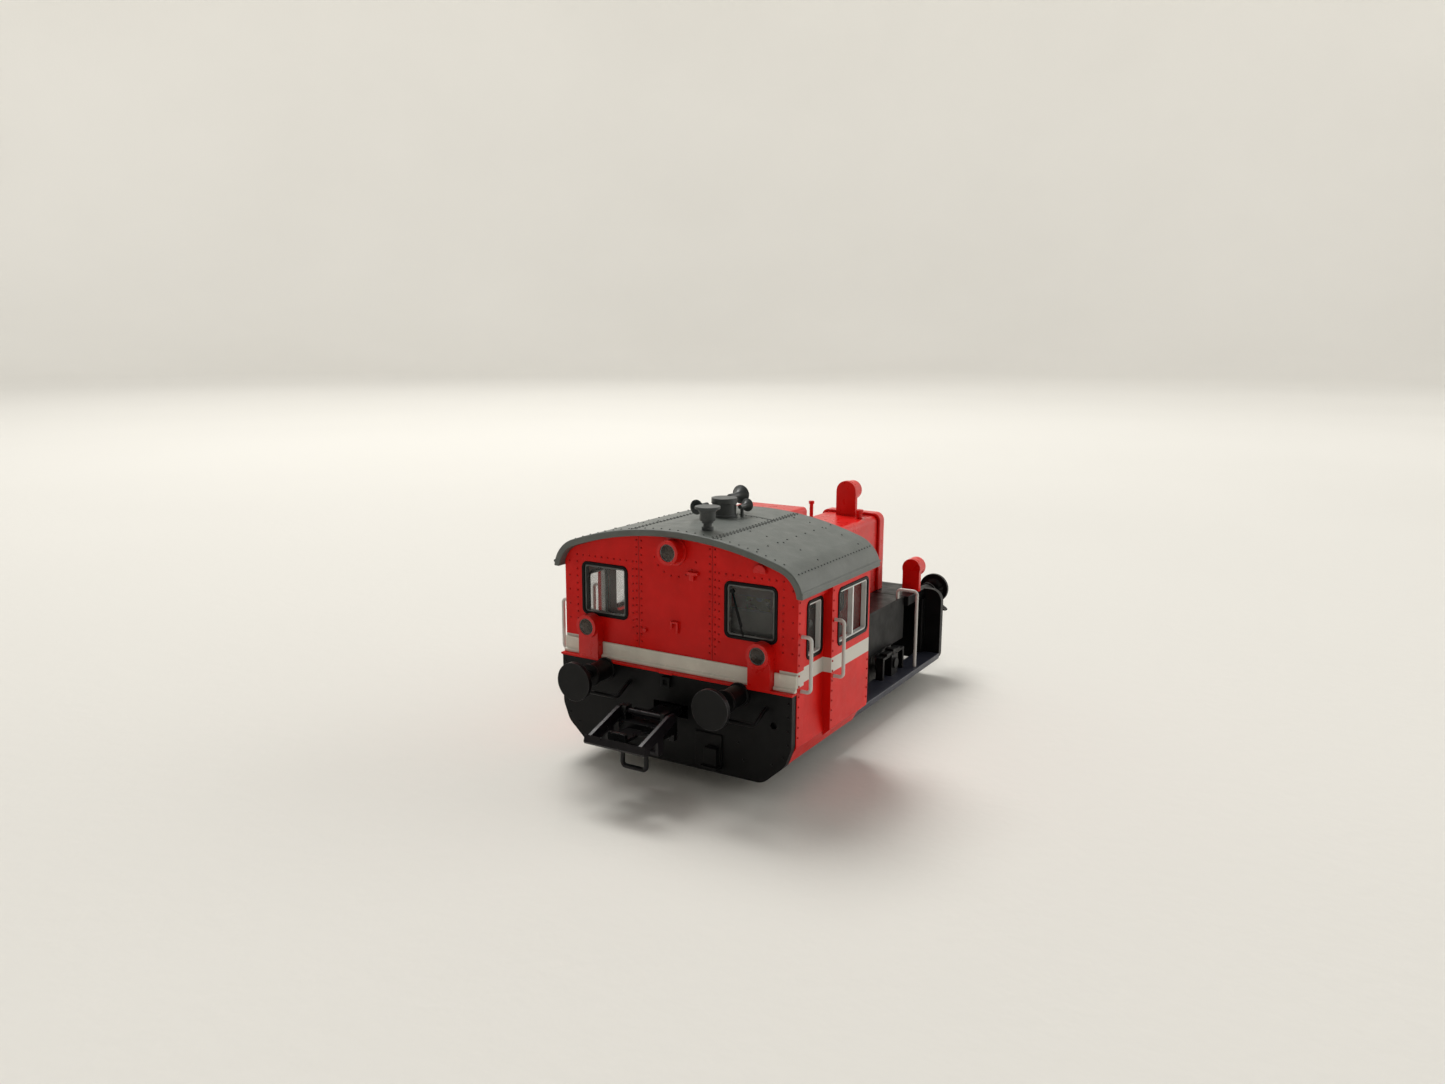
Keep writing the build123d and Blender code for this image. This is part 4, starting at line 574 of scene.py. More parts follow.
RED: Colour = (0.68, 0.0056, 0.003)
# Darker red for rivets and seams: painted shade round the raised heads and welts.
RED_PAINTED_SHADE: Colour = (0.42, 0.0042, 0.0026)
RED_WORN: Colour = (0.62, 0.03, 0.022)
FINISHES: dict[str, Finish | ClearFinish] = {
    "red_paint": Finish("red_paint_hood", RED, RED_WORN, 0.3, Surface.SPRAYED, specular=0.36),
    "cab_paint": CabPaint(
        "red_paint_cab", RED, RED_WORN, 0.36, Surface.SPRAYED, specular=0.17,
        band_low=0.0147, band_high=0.0166),
    # The cab's rivets and end-wall seams take this darker red as painted shade.
    "painted_shade_red": Finish("red_paint_painted_shade", RED_PAINTED_SHADE, RED, 0.4, Surface.SPRAYED, specular=0.2),
    # The roof's rivets and seams take this darker grey as painted shade round the raised heads and welts.
    "painted_shade_grey": Finish(
        "roof_grey_painted_shade", (0.06, 0.066, 0.062), (0.1, 0.11, 0.1), 0.5, Surface.MATT, specular=0.2),
    # Buffer heads: the pale edge colour at full share is a painted highlight along their rims, with wear.
    "buffer_black": Finish(
        "buffer_black", (0.004, 0.004, 0.0042), (0.12, 0.12, 0.124), 0.36, Surface.MOULDED,
        specular=0.16, edge_wear_and_highlight_share=1.0),
    "white_paint": Finish("off_white_paint", (0.72, 0.69, 0.6), (0.75, 0.73, 0.68), 0.5, Surface.SPRAYED),
    "roof_grey": Finish(
        "roof_grey_paint", (0.128, 0.14, 0.13), (0.16, 0.17, 0.162), 0.42, Surface.MATT, specular=0.3),
    "vent_grey": Finish("vent_grey_paint", (0.05, 0.056, 0.056), (0.12, 0.13, 0.13), 0.42, Surface.MATT),
    "black_plastic": Finish(
        "satin_black", (0.0042, 0.0042, 0.0044), (0.02, 0.02, 0.021), 0.38, Surface.MOULDED, specular=0.13),
    # The running boards' black carries a blue tint: painted reflection of sky light on their tops.
    "board_plastic": Finish("black_painted_sky_reflection", (0.028, 0.031, 0.048), (0.09, 0.1, 0.13), 0.42, Surface.MOULDED),
    "coupler_plastic": Finish(
        "coupler_black", (0.004, 0.004, 0.0045), (0.03, 0.03, 0.032), 0.3, Surface.MOULDED, specular=0.22),
    "coupler_metal": Finish(
        "burnished_black", (0.0055, 0.004, 0.006), (0.035, 0.026, 0.032), 0.34, Surface.MOULDED,
        specular=0.24),
    "cast_frame": Finish(
        "blackened_casting", (0.03, 0.03, 0.031), (0.16, 0.16, 0.16), 0.5, Surface.CAST, metallic=0.5),
    "steel": Finish("bright_steel", (0.5, 0.5, 0.5), (0.7, 0.7, 0.7), 0.3, Surface.TURNED, metallic=1.0),
    "wheel_metal": Finish(
        "blackened_wheel", (0.06, 0.058, 0.056), (0.5, 0.49, 0.48), 0.34, Surface.TURNED,
        metallic=0.9, edge_wear_and_highlight_share=0.9),
    "brass": Finish(
        "turned_brass", (0.62, 0.44, 0.16), (0.8, 0.64, 0.32), 0.3, Surface.TURNED, metallic=1.0),
    "bronze": Finish(
        "spring_bronze", (0.6, 0.36, 0.2), (0.78, 0.55, 0.36), 0.34, Surface.TURNED, metallic=1.0),
    "gear_plastic": Finish("natural_acetal", (0.66, 0.63, 0.54), (0.8, 0.78, 0.72), 0.4, Surface.MOULDED),
    "board_green": Finish("board_green", (0.012, 0.11, 0.04), (0.1, 0.25, 0.14), 0.4, Surface.MOULDED),
    "interior_grey": Finish("interior_grey", (0.24, 0.25, 0.245), (0.3, 0.31, 0.3), 0.55, Surface.MATT),
    "window_rubber": Finish(
        "window_black", (0.004, 0.004, 0.0042), (0.012, 0.012, 0.012), 0.42, Surface.MOULDED, specular=0.12),
    "frame_silver": BandedFinish(
        "silver_print", (0.085, 0.088, 0.084), (0.25, 0.25, 0.25), 0.24, Surface.TURNED,
        second=(0.7, 0.7, 0.68)),
    "rail_wire": Finish(
        "silver_grey_paint", (0.6, 0.59, 0.56), (0.7, 0.69, 0.67), 0.4, Surface.SPRAYED, metallic=0.1),
    "clear_pane": ClearFinish("clear_pane", (0.2, 0.21, 0.2), 0.2, 0.04),
    "lamp_lens": ClearFinish("lamp_lens", (0.02, 0.018, 0.017), 0.4, 0.03, 0.01),
    "lamp_rim": Finish(
        "lamp_rim", (0.2, 0.2, 0.195), (0.5, 0.5, 0.49), 0.26, Surface.TURNED, metallic=0.85),
    "lamp_reflector": Finish(
        "lamp_reflector", (0.1, 0.075, 0.06), (0.3, 0.27, 0.24), 0.24, Surface.CAST,
        metallic=0.7, mottle=0.75),
}


class Paintbox:
    """Makes each finish once and hands it out."""

    def __init__(self) -> None:
        """Start with no material made."""
        self.made: dict[str, bpy.types.Material] = {}

    def get(self, name: str) -> bpy.types.Material:
        """Return a finish by name, made on first use."""
        if name not in self.made:
            self.made[name] = FINISHES[name].make()
        return self.made[name]

    def dress(self, piece: bpy.types.Object, name: str) -> None:
        """Give a piece one finish, in place of what it had."""
        piece.data.materials.clear()
        piece.data.materials.append(self.get(name))

    def dress_node(self, node: bpy.types.Object, name: str) -> None:
        """Give a CAD node a finish through its object's own slot.

        Args:
            node: The node's object.
            name: Name of the finish.
        """
        if not node.material_slots:
            node.data.materials.append(None)
        for slot in node.material_slots:
            slot.link = "OBJECT"
            slot.material = self.get(name)


# ---- pieces from the frame
@dataclass
class Workshop:
    """What every sub-assembly needs: the frame, the paints and where nodes ride."""

    frame: dict
    paints: Paintbox = field(default_factory=Paintbox)
    rides: dict[str, str] = field(default_factory=dict)
    slots: dict[str, str] = field(default_factory=dict)
    merge_reach: float = 2e-6
    flat_angle: float = 1.0
    bevel_steps: int = 2

    def __post_init__(self) -> None:
        """Read which body each node rides on and which slot it has."""
        record = self.frame["record"]
        for body, members in record["behaviour"]["bodies"].items():
            self.rides.update({node: body for node in members})
        self.slots = {row["node"]: row["material_slot"] for row in record["subparts"]}

    def span(self, node: str) -> tuple[np.ndarray, np.ndarray]:
        """Return a node's lowest and highest corners as arrays."""
        low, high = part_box(node)
        return np.array(low), np.array(high)

    def add(self, piece: bpy.types.Object, body: str, finish: str, slot: str) -> bpy.types.Object:
        """Dress a new piece and let it ride.

        Args:
            piece: The piece, in its place.
            body: Body of the frame it moves with.
            finish: Name of its finish.
            slot: Material slot of the record that it stands for; not used.

        Returns:
            The piece.
        """
        self.paints.dress(piece, finish)
        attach(piece, body)
        LOG.info("%s: %d points", piece.name, len(piece.data.vertices))
        return piece

    def made(self, name: str, parts: list[MeshArrays], finish: str, slot: str) -> bpy.types.Object:
        """Join meshes into one new, dressed piece that rides on the locomotive."""
        return self.add(mesh_object(name, *join(parts)), "locomotive", finish, slot)

    def refined(self, node: str, finish: str, width: float, angle: float = 34.0) -> bpy.types.Object:
        """Replace a CAD node by a merged copy with rounded edges.

        The copy's doubles are merged, its flat facets joined, and a bevel rounds each edge
        sharper than the angle; smooth shading stops at those edges.

        Args:
            node: The CAD node.
            finish: Name of the finish.
            width: Bevel width in metres.
            angle: Degrees between faces from which an edge counts as sharp.

        Returns:
            The new piece.
        """
        source = self.frame["nodes"][node]
        mesh = source.data.copy()
        mesh.name = f"{node}_finished"
        work = bmesh.new()
        work.from_mesh(mesh)
        bmesh.ops.remove_doubles(work, verts=work.verts, dist=self.merge_reach)
        flat = math.radians(self.flat_angle)
        bmesh.ops.dissolve_limit(work, angle_limit=flat, verts=work.verts, edges=work.edges)
        for face in work.faces:
            face.smooth = True
        work.to_mesh(mesh)
        work.free()
        mesh.set_sharp_from_angle(angle=math.radians(angle))
        piece = bpy.data.objects.new(f"{node}_finished", mesh)
        bpy.context.scene.collection.objects.link(piece)
        if width > 0:
            bevel = piece.modifiers.new("rounded_edges", "BEVEL")
            bevel.width = width
            bevel.segments = self.bevel_steps
            bevel.limit_method = "ANGLE"
            bevel.angle_limit = math.radians(angle)
            bevel.harden_normals = False
            bevel.use_clamp_overlap = True
            normals = piece.modifiers.new("face_normals", "WEIGHTED_NORMAL")
            normals.keep_sharp = True
        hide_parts(node)
        return self.add(piece, self.rides[node], finish, self.slots[node])


# ---- cab
@dataclass
class Cab:
    """The red cab: walls, rivets, seams, windows, fittings and rails."""

    shop: Workshop
    wall_x: float = 0.0
    rivet: float = 0.15 * MM
    rivet_height: float = 0.13 * MM
    end_step: float = 0.95 * MM
    side_step: float = 1.25 * MM
    seam_y: float = 5.5 * MM
    seam_low: float = 16.4 * MM
    seam_high: float = 31.0 * MM
    seam_width: float = 0.16 * MM
    seam_rise: float = 0.05 * MM
    seam_gap: float = 0.38 * MM
    seam_rows: tuple[float, float] = (17.2 * MM, 30.4 * MM)
    window_inner: float = 7.2 * MM
    window_outer: float = 14.65 * MM
    window_low: float = 19.6 * MM
    window_high: float = 26.8 * MM
    window_margin: float = 0.75 * MM
    corner_y: float = 16.7 * MM
    corner_step: float = 2.1 * MM
    corner_drop: float = 1.0 * MM
    lamp_z: float = 29.63 * MM
    lamp_ring: float = 3.3 * MM
    pillar_x: float = -28.6 * MM
    pillar_y: float = 17.4 * MM
    panel_y: float = 18.08 * MM
    door_rear_x: float = -20.75 * MM
    door_front_x: float = -9.95 * MM
    side_low: float = 8.4 * MM
    side_high: float = 25.2 * MM
    side_ledge: float = 13.6 * MM

    def build(self) -> None:
        """Make every piece of the cab."""
        shop = self.shop
        self.wall_x = float(shop.span("cab_stripe_bar")[1][0])
        shop.refined("cab_body", "cab_paint", 0.12 * MM)
        shop.refined("cab_stripe_bar", "white_paint", 0.08 * MM)
        shop.refined("end_wall_fittings", "red_paint", 0.07 * MM)
        shop.refined("window_rubbers", "window_rubber", 0.06 * MM)
        shop.refined("window_frames", "frame_silver", 0.04 * MM)
        shop.refined("rear_wiper", "black_plastic", 0.0)
        shop.refined("handrails", "rail_wire", 0.0, angle=50)
        shop.refined("cab_interior", "interior_grey", 0.15 * MM)
        self.end_wall_rivets()
        self.side_rivets()
        self.seams()

    def end_wall_rivets(self) -> None:
        """Set the end wall's rivets: beside the seams, round the windows and under the lamp."""
        rows: list[tuple[float, float]] = []
        gap, margin, step = self.seam_gap, self.window_margin, self.end_step
        inner, outer = self.window_inner - margin, self.window_outer + margin
        low, high = self.window_low - margin, self.window_high + margin
        for side in (-1, 1):
            for z in spaced(*self.seam_rows, step):
                rows += [(side * (self.seam_y - gap), z), (side * (self.seam_y + gap), z)]
            for z in spaced(low, high, step):
                rows += [(side * inner, z), (side * outer, z)]
            for y in spaced(inner, outer, step)[1:-1]:
                rows.append((side * y, high))
            for z in spaced(low, high - self.corner_drop, self.corner_step):
                rows.append((side * self.corner_y, z))
        angles = np.radians(np.linspace(200, 340, 8))
        ring = self.lamp_ring
        rows += [(ring * math.cos(a), self.lamp_z + ring * math.sin(a)) for a in angles]
        places = np.array([(self.wall_x, y, z) for y, z in rows])
        normals = np.tile([-1.0, 0, 0], (len(places), 1))
        heads = domes(places, normals, self.rivet, self.rivet_height)
        # The heads are painted a darker red: painted shade.
        self.shop.made("end_wall_rivets", [heads], "painted_shade_red", "red_paint")

    def side_rivets(self) -> None:
        """Set the rivets on pillars and panels of both cab sides."""
        places: list[Triple] = []
        for side in (-1, 1):
            pillar, panel = side * self.pillar_y, side * self.panel_y
            for z in spaced(self.side_low, self.side_high, self.side_step):
                places += [(self.pillar_x, pillar, z), (self.door_rear_x, panel, z)]
            for z in spaced(self.side_low, self.side_ledge, self.side_step):
                places.append((self.door_front_x, panel, z))
        cloud = np.array(places)
        normals = np.stack([np.zeros(len(cloud)), np.sign(cloud[:, 1]), np.zeros(len(cloud))], -1)
        heads = domes(cloud, normals, self.rivet, self.rivet_height)
        # The heads are painted a darker red: painted shade.
        self.shop.made("side_rivets", [heads], "painted_shade_red", "red_paint")

    def seams(self) -> None:
        """Run the two upright seams of the end wall as fine raised welts."""
        out = np.array([-1.0, 0, 0])
        parts = []
        for side in (-1, 1):
            foot = np.array([self.wall_x, side * self.seam_y, self.seam_low])
            top = np.array([self.wall_x, side * self.seam_y, self.seam_high])
            parts.append(bar(foot, top, self.seam_width, self.seam_rise, out))
        # The welts are painted a darker red: painted shade.
        self.shop.made("end_wall_seams", parts, "painted_shade_red", "red_paint")


@dataclass
class Glazing:
    """Panes and the lenses of the lamps."""

    shop: Workshop
    middle: float = 3 * MM
    dome_rise: float = 0.22 * MM
    dome_share: float = 0.98
    rim_depth: float = 0.07 * MM
    rim_width: float = 0.06 * MM
    rim_inset: float = 0.03 * MM
    rim_lift: float = 0.05 * MM

    def build(self) -> None:
        """Dress the panes and make the domed lenses."""
        self.shop.refined("window_panes", "clear_pane", 0.0)
        for node, out in (("rear_lamp_lenses", -1), ("front_lamp_lenses", 1)):
            self.lenses(node, out)

    def lenses(self, node: str, out: int) -> None:
        """Add a domed front and a bright rim to the lenses of one end.

        The dome is radius * sin t across and rise * cos t out, for t from 0 to 90 degrees.

        Args:
            node: The CAD node with the lens discs.
            out: -1 for the cab end, 1 for the hood end.
        """
        source = self.shop.frame["nodes"][node]
        self.shop.paints.dress_node(source, "lamp_reflector")
        points = np.empty(len(source.data.vertices) * 3)
        source.data.vertices.foreach_get("co", points)
        points = points.reshape(-1, 3)
        across = points[:, 1]
        groups = [
            points[across < -self.middle], points[np.abs(across) < self.middle], points[across > self.middle]
        ]
        fronts, rims = [], []
        for group in groups:
            centre = (group.min(0) + group.max(0)) / 2
            face = group[:, 0].min() if out < 0 else group[:, 0].max()
            radius = (group[:, 1].max() - group[:, 1].min()) / 2
            t = np.linspace(0, np.pi / 2, 7)
            profile = np.stack([out * self.dome_rise * np.cos(t), radius * self.dome_share * np.sin(t)], -1)
            if out > 0:
                profile = profile[::-1]
            fronts.append(lathe(profile, Vector((face, centre[1], centre[2])), "X", 32))
            a = np.linspace(0, 2 * np.pi, 9)
            ring = radius - self.rim_inset + self.rim_width * np.cos(a)
            rim = np.stack([self.rim_depth * np.sin(a), ring], -1)
            rims.append(lathe(rim, Vector((face + out * self.rim_lift, centre[1], centre[2])), "X", 32))
        self.shop.made(f"{node}_domes", fronts, "lamp_lens", "lamp_lens").data.shade_smooth()
        self.shop.made(f"{node}_rims", rims, "lamp_rim", "frame_silver").data.shade_smooth()


# ---- roof
@dataclass
class Roof:
    """The grey roof with its rivets, seams, vents and horns."""

    shop: Workshop
    crown_radius: float = 46.77 * MM
    corner_radius: float = 4.5 * MM
    half_width: float = 18.5 * MM
    seam_y: float = 6.05 * MM
    rivet: float = 0.13 * MM
    rivet_height: float = 0.1 * MM
    rivet_step: float = 0.8 * MM
    seam_gap: float = 0.32 * MM
    seam_width: float = 0.2 * MM
    seam_rise: float = 0.06 * MM
    seam_inset: float = 0.3 * MM
    end_inset: float = 0.9 * MM
    eave_row_y: float = 17.2 * MM
    eave_row_step: float = 0.85 * MM
    wide_row_y: float = 11.4 * MM
    wide_row_step: float = 2.6 * MM
    cross_inner: float = 7.0 * MM
    cross_outer: float = 16.5 * MM
    cross_step: float = 2.4 * MM
    rear_cross: float = 7.8 * MM
    front_cross: float = 3.1 * MM
    end_row: float = 0.95 * MM
    end_row_half: float = 15.5 * MM
    end_row_step: float = 1.25 * MM
    lap_inset: float = 7.2 * MM
    lap_gap: float = 0.3 * MM
    lap_half: float = 5.3 * MM
    bead_y: float = 18.35 * MM
    bead_width: float = 0.34 * MM
    bead_rise: float = 0.12 * MM
    top: float = 0.0
    rear: float = 0.0
    front: float = 0.0

    def build(self) -> None:
        """Make every piece of the roof."""
        low, high = self.shop.span("cab_roof")
        self.top, self.rear, self.front = float(high[2]), float(low[0]), float(high[0])
        self.shop.refined("cab_roof", "roof_grey", 0.14 * MM, angle=30)
        self.shop.refined("roof_vents", "vent_grey", 0.07 * MM)
        self.shop.refined("roof_horns", "vent_grey", 0.0, angle=40)
        self.rivets()
        self.seams()
        self.drip_rails()

    def surface(self, y: np.ndarray) -> MeshArrays:
        """Work out the roof's height and normal across it.

        Inside the joint the height is top - R + sqrt(R^2 - y^2); outside it, the corner
        arc's centre height + sqrt(r^2 - (|y| - yc)^2).

        Args:
            y: Places across the roof.

        Returns:
            Heights, and outward (y, z) normals.
        """
        big, small = self.crown_radius, self.corner_radius
        base = self.top - big
        yc = self.half_width - small
        zc = base + math.sqrt((big - small) ** 2 - yc**2)
        joint = big * math.sin(math.atan2(yc, zc - base))
        inner = np.abs(y) < joint
        away = np.clip(np.abs(y) - yc, -small, small * 0.999)
        crown = base + np.sqrt(big**2 - np.clip(y, -big, big) ** 2)
        z = np.where(inner, crown, zc + np.sqrt(small**2 - away**2))
        centre_y = np.where(inner, 0.0, np.sign(y) * yc)
        centre_z = np.where(inner, base, zc)
        normal = np.stack([y - centre_y, z - centre_z], -1)
        return z, normal / np.linalg.norm(normal, axis=1, keepdims=True)

    def on_roof(self, xs: np.ndarray, ys: np.ndarray) -> MeshArrays:
        """Lift pairs of x and y onto the roof.

        Args:
            xs: Places along the roof.
            ys: Places across it.

        Returns:
            (n, 3) places and (n, 3) normals.
        """
        z, n = self.surface(ys)
        places = np.stack([xs, ys, z], -1)
        return places, np.stack([np.zeros(len(xs)), n[:, 0], n[:, 1]], -1)

    def rivets(self) -> None:
        """Set the rows along the seams, across the sheets and above the eaves."""
        xs, ys = [], []

        def along(y: float, x0: float, x1: float, step: float) -> None:
            """Add a row along the roof."""
            line = spaced(x0, x1, step)
            xs.extend(line)
            ys.extend([y] * len(line))

        def across(x: float, y0: float, y1: float, step: float) -> None:
            """Add a row across the roof."""
            line = spaced(y0, y1, step)
            xs.extend([x] * len(line))
            ys.extend(line)

        x0, x1 = self.rear + self.end_inset, self.front - self.end_inset
        for side in (-1, 1):
            along(side * (self.seam_y - self.seam_gap), x0, x1, self.rivet_step)
            along(side * (self.seam_y + self.seam_gap), x0, x1, self.rivet_step)
            along(side * self.eave_row_y, x0 + 0.5 * MM, x1, self.eave_row_step)
            along(side * self.wide_row_y, x0 + 1.0 * MM, x1, self.wide_row_step)
            for x in (self.rear + self.rear_cross, self.front - self.front_cross):
                across(x, side * self.cross_inner, side * self.cross_outer, self.cross_step)
        across(self.rear + self.end_row, -self.end_row_half, self.end_row_half, self.end_row_step)
        lap = self.front - self.lap_inset - self.lap_gap
        across(lap, -self.lap_half, self.lap_half, self.rivet_step)
        places, normals = self.on_roof(np.array(xs), np.array(ys))
        heads = domes(places, normals, self.rivet, self.rivet_height)
        # The heads are painted a darker grey: painted shade.
        self.shop.made("roof_rivets", [heads], "painted_shade_grey", "roof_grey")

    def seams(self) -> None:
        """Run the lengthwise lap seams and the cross seam between them."""
        parts = []
        ends = np.array([self.rear + self.seam_inset, self.front - self.seam_inset])
        for side in (-1, 1):
            places, normals = self.on_roof(ends, np.full(2, side * self.seam_y))
            parts.append(bar(places[0], places[1], self.seam_width, self.seam_rise, normals[0]))
        y = np.linspace(-self.seam_y, self.seam_y, 13)
        places, normals = self.on_roof(np.full(len(y), self.front - self.lap_inset), y)
        for a, b, n in zip(places[:-1], places[1:], normals[:-1]):
            parts.append(bar(a, b, self.seam_width, self.seam_rise, n))
        # The welts are painted a darker grey: painted shade.
        self.shop.made("roof_seams", parts, "painted_shade_grey", "roof_grey")

    def drip_rails(self) -> None:
        """Run a fine gutter bead along both eaves."""
        parts = []
        for side in (-1, 1):
            places, normals = self.on_roof(np.array([self.rear, self.front]), np.full(2, side * self.bead_y))
            parts.append(bar(places[0], places[1], self.bead_width, self.bead_rise, normals[0]))
        self.shop.made("eave_beads", parts, "roof_grey", "roof_grey")


# ---- hood and lamps
@dataclass
class Hood:
    """The hood, the cowl against the cab, the radiator and the lamps."""

    shop: Workshop

    def build(self) -> None:
        """Dress the hood's pieces."""
        for node, width in (
            ("hood", 0.14), ("hood_cowl", 0.14), ("radiator_surround", 0.12), ("radiator_grille", 0.04),
            ("hood_fittings", 0.07), ("rear_lamp_housings", 0.12), ("front_lamp_housings", 0.12),
        ):
            self.shop.refined(node, "red_paint", width * MM)


# ---- underframe
@dataclass
class Underframe:
    """Beams, boards, tanks, buffers and couplers."""

    shop: Workshop
    rivet: float = 0.17 * MM
    rivet_height: float = 0.12 * MM
    rivet_step: float = 1.75 * MM
    edge_inset: float = 0.5 * MM
    top_inset: float = 0.95 * MM
    corner_in: float = 0.6 * MM
    corner_down: float = 7.0 * MM
    low_rivets: tuple[tuple[float, float], ...] = (
        (14.7 * MM, 4.9 * MM), (9.95 * MM, 6.8 * MM), (10.7 * MM, 4.7 * MM),
    )

    def build(self) -> None:
        """Dress the underframe and rivet the beams."""
        shop = self.shop
        for node, width in (
            ("rear_buffer_beam", 0.1), ("front_buffer_beam", 0.14), ("side_tanks", 0.12),
            ("front_platform", 0.1), ("axleboxes", 0.1), ("brake_gear", 0.07), ("keeper_plate", 0.08),
            ("buffer_sleeves", 0.07),
        ):
            shop.refined(node, "black_plastic", width * MM)
        shop.refined("beam_fittings", "black_plastic", 0.05 * MM, angle=45)
        # The boards' blue tint is a painted reflection of sky light.
        shop.refined("running_boards", "board_plastic", 0.1 * MM)
        shop.refined("chassis_frame", "cast_frame", 0.08 * MM)
        for end, _ in ENDS:
            for side, _ in SIDES:
                # The buffer heads' finish paints a highlight rim along their edges.
                shop.refined(f"{end}_{side}_buffer", "buffer_black", 0.09 * MM)
            shop.refined(f"{end}_coupler_head", "coupler_plastic", 0.06 * MM)
            shop.refined(f"{end}_coupler_bow", "coupler_metal", 0.06 * MM)
            shop.refined(f"{end}_wheels", "wheel_metal", 0.06 * MM)
        self.beam_rivets()

    def beam_rivets(self) -> None:
        """Set the rivets down both edges of the rear beam and round its corners."""
        low, high = self.shop.span("rear_buffer_beam")
        face = float(low[0])
        edge = float(high[1]) - self.edge_inset
        top = float(high[2]) - self.top_inset
        rows = [(edge, top - n * self.rivet_step) for n in range(4)]
        rows += [(edge - self.corner_in, top - self.corner_down), *self.low_rivets]
        places = np.array([(face, side * y, z) for y, z in rows for side in (-1, 1)])
        normals = np.tile([-1.0, 0, 0], (len(places), 1))
        heads = domes(places, normals, self.rivet, self.rivet_height)
        self.shop.made("rear_beam_rivets", [heads], "black_plastic", "black_plastic")


@dataclass
class Works:
    """What turns inside: dressed where it stands."""

    shop: Workshop

    def build(self) -> None:
        """Give the CAD nodes that stay their finishes."""
        hidden_finish = {
            "keeper_screws": "steel", "current_wipers": "bronze", "coupler_pivot_pins": "steel",
            "cab_floor": "interior_grey", "motor_can": "steel", "motor_cradle": "black_plastic",
            "motor_rotor": "steel", "drive_worm": "brass", "worm_bearing_bracket": "brass",
            "circuit_board": "board_green", "worm_wheel_gear": "gear_plastic",
            "centre_idler_gear": "gear_plastic", "rear_idler_gear": "gear_plastic",
            "front_idler_gear": "gear_plastic", "rear_axle": "steel", "front_axle": "steel",
        }
        for node, finish in hidden_finish.items():
            self.shop.paints.dress_node(self.shop.frame["nodes"][node], finish)
            LOG.info("%s dressed", node)
        self.springs()

    def springs(self) -> None:
        """Part the four buffer springs into a piece for each end and side."""
        mesh = self.shop.frame["nodes"]["buffer_springs"].data
        mesh.calc_loop_triangles()
        points = np.empty(len(mesh.vertices) * 3)
        mesh.vertices.foreach_get("co", points)
        corners = np.empty(len(mesh.loop_triangles) * 3, dtype=np.int32)
        mesh.loop_triangles.foreach_get("vertices", corners)
        points, merged = np.unique(np.round(points.reshape(-1, 3), 7), axis=0, return_inverse=True)
        faces = merged.reshape(-1)[corners].reshape(-1, 3)
        ride, slot = self.shop.rides["buffer_springs"], self.shop.slots["buffer_springs"]
        for end, out in ENDS:
            for side, left in SIDES:
                own = (points[:, 0] * out > 0) & (points[:, 1] * left > 0)
                rows = faces[own[faces].all(axis=1)]
                used = np.unique(rows)
                coil = points[used]
                piece = mesh_object(f"{end}_{side}_spring", coil, np.searchsorted(used, rows))
                piece.data.shade_smooth()
                piece.data.set_sharp_from_angle(angle=math.radians(50))
                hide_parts("buffer_springs")
                self.shop.add(piece, ride, "steel", slot)
                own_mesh(piece)


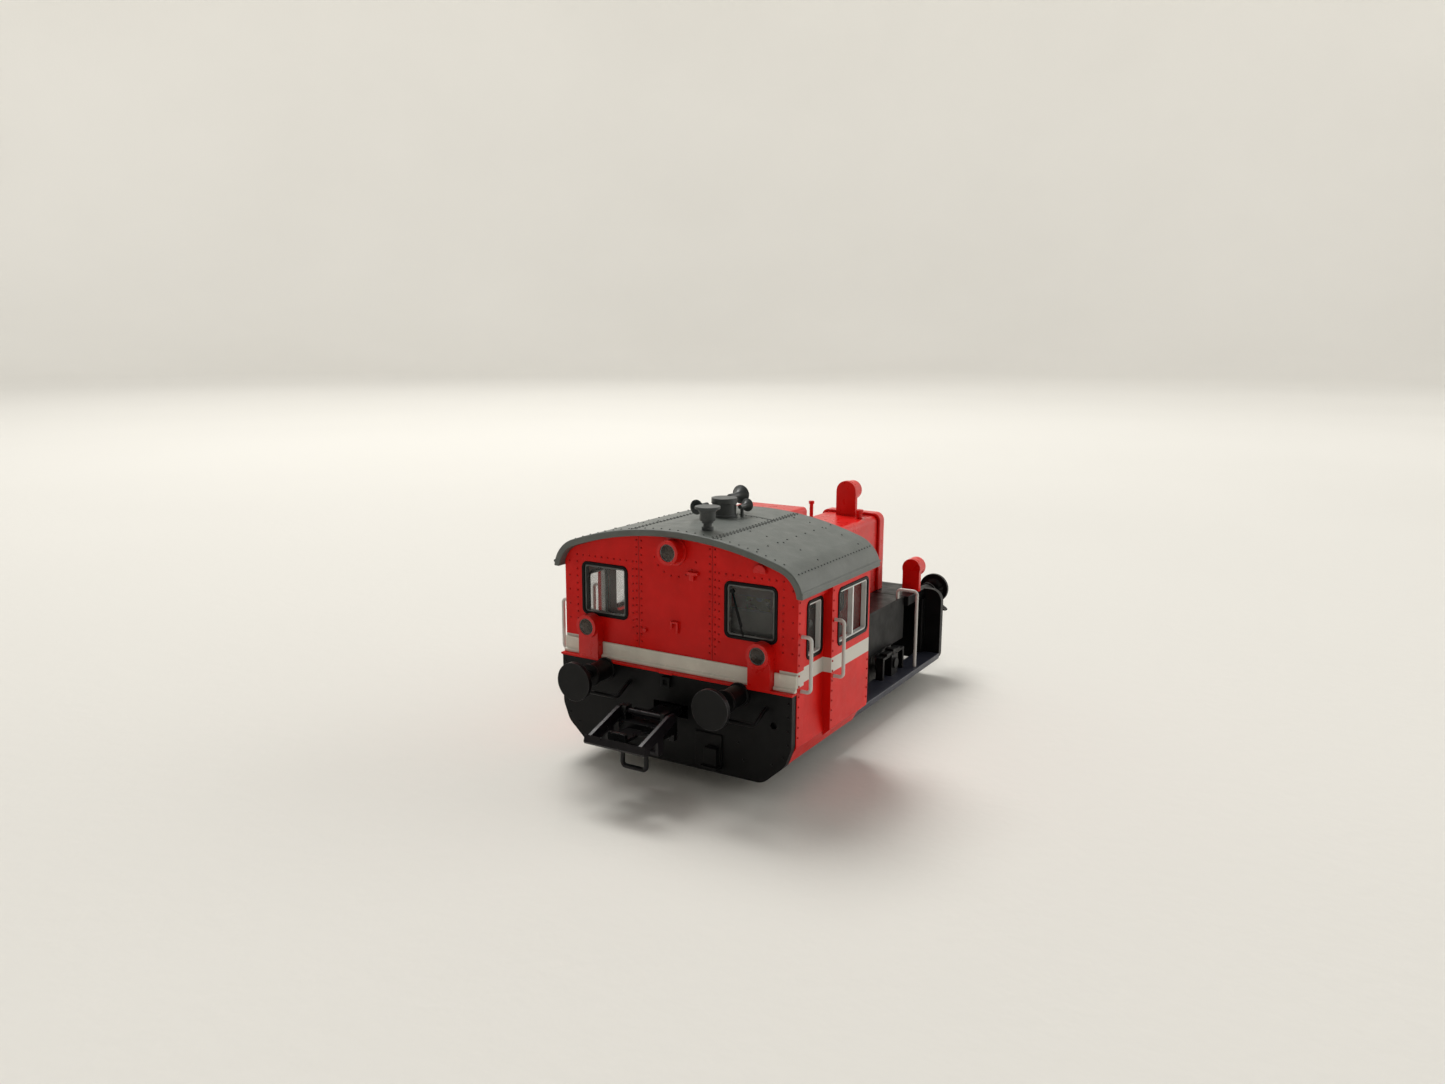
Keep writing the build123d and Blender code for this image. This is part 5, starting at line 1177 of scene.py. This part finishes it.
# ---- studio
@dataclass
class Studio:
    """Pale floor and backdrop, soft light and the camera."""

    focal: float = 28.007
    sensor: float = 36.0
    place: Triple = (-0.14378, -0.07563, 0.05717)
    forward: Triple = (0.84264, 0.50435, -0.18865)
    right: Triple = (0.51432, -0.85759, 0.00458)
    floor_radius: float = 1.3
    sweep_radius: float = 0.6
    wall_top: float = 1.3
    board_dark: Colour = (0.725, 0.708, 0.668)
    board_pale: Colour = (0.755, 0.738, 0.698)
    board_roughness: float = 0.75
    board_specular: float = 0.08
    lamp_colour: Colour = (1.0, 0.99, 0.962)
    lamp_aim: Triple = (0, 0, 0.02)
    main_place: Triple = (0.3, 0.45, 0.9)
    main_size: float = 0.5
    main_power: float = 4.5
    fill_place: Triple = (0.75, -0.8, 0.4)
    fill_size: float = 0.8
    fill_power: float = 2.5
    lamp_spread: float = 130.0
    wash_ahead: float = 0.75
    wash_across: float = 0.8
    wash_height: float = 1.3
    wash_aim_ahead: float = 1.9
    wash_aim_height: float = 0.8
    wash_size: float = 1.2
    wash_power: float = 10.5
    sky_colour: tuple[float, float, float, float] = (1.0, 0.985, 0.955, 1)
    sky_strength: float = 0.3

    def build(self) -> None:
        """Make the stage."""
        self.camera()
        self.backdrop()
        self.lights()

    def camera(self) -> None:
        """Set the camera from its place and its forward and right directions."""
        data = bpy.data.cameras.new("camera")
        data.sensor_width = self.sensor
        data.lens = self.focal
        data.clip_start = 0.005
        data.clip_end = 20
        camera = bpy.data.objects.new("camera", data)
        bpy.context.scene.collection.objects.link(camera)
        back = -Vector(self.forward).normalized()
        across = Vector(self.right).normalized()
        up = back.cross(across).normalized()
        turn = Matrix((across, up, back)).transposed()
        camera.matrix_world = Matrix.Translation(self.place) @ turn.to_4x4()
        bpy.context.scene.camera = camera

    def backdrop(self) -> None:
        """Turn a bowl: flat floor, a quarter circle, then an upright wall all round.

        Radius r and height h are r = w + R sin t, h = R - R cos t on the quarter circle.
        """
        t = np.linspace(0, np.pi / 2, 17)
        reach = self.floor_radius
        r = np.concatenate([[0.0], reach + self.sweep_radius * np.sin(t), [reach + self.sweep_radius]])
        h = np.concatenate([[0.0], self.sweep_radius * (1 - np.cos(t)), [self.wall_top]])
        points, faces = lathe(np.stack([h, r], -1), Vector((0, 0, 0)), "Z", 96)
        piece = mesh_object("backdrop", points, faces[:, ::-1])
        piece.data.shade_smooth()
        nodes = Nodes("pale_board")
        cloud = nodes.ranged(nodes.noise(3.0, 3), 0.3, 0.7, 0, 1)
        colour = nodes.mixed(cloud, self.board_dark, self.board_pale)
        nodes.link(colour, nodes.shader.inputs["Base Color"])
        nodes.shader.inputs["Roughness"].default_value = self.board_roughness
        nodes.shader.inputs["Specular IOR Level"].default_value = self.board_specular
        nodes.relief([(nodes.noise(420, 2), 6e-5)])
        piece.data.materials.append(nodes.material)

    def area(
        self, name: str, place: Vector, aim: Vector, size: float, power: float, spread: float = 180.0
    ) -> None:
        """Hang a square soft light.

        Args:
            name: Name of the light.
            place: Where it hangs.
            aim: What it points at.
            size: Side of its square, in metres.
            power: Watts.
            spread: Degrees that its beam opens.
        """
        data = bpy.data.lights.new(name, "AREA")
        data.size = size
        data.energy = power
        data.spread = math.radians(spread)
        data.color = self.lamp_colour
        light = bpy.data.objects.new(name, data)
        bpy.context.scene.collection.objects.link(light)
        turn = (aim - place).to_track_quat("-Z", "Y").to_matrix().to_4x4()
        light.matrix_world = Matrix.Translation(place) @ turn

    def lights(self) -> None:
        """Light from above and behind, a broad fill on the right, a wash on the wall and a pale sky."""
        model = Vector(self.lamp_aim)
        self.area("main", Vector(self.main_place), model, self.main_size, self.main_power, self.lamp_spread)
        self.area(
            "right_fill", Vector(self.fill_place), model, self.fill_size, self.fill_power, self.lamp_spread
        )
        ahead = Vector((self.forward[0], self.forward[1], 0)).normalized()
        for side, sign in SIDES:
            across = Vector((-ahead[1], ahead[0], 0)) * sign * self.wash_across
            place = ahead * self.wash_ahead + across + Vector((0, 0, self.wash_height))
            aim = ahead * self.wash_aim_ahead + across + Vector((0, 0, self.wash_aim_height))
            self.area(f"wall_wash_{side}", place, aim, self.wash_size, self.wash_power)
        world = bpy.data.worlds.new("room")
        world.use_nodes = True
        background = world.node_tree.nodes["Background"]
        background.inputs[0].default_value = self.sky_colour
        background.inputs[1].default_value = self.sky_strength
        bpy.context.scene.world = world
        bpy.context.scene.view_settings.view_transform = "Standard"


def main() -> None:
    """Build the classes in order."""
    logging.basicConfig(level=logging.INFO, format="%(message)s")
    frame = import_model()
    shop = Workshop(frame)
    Studio().build()
    for assembly in (Cab, Glazing, Roof, Hood, Underframe, Works):
        assembly(shop).build()


if __name__ == "__main__":
    main()
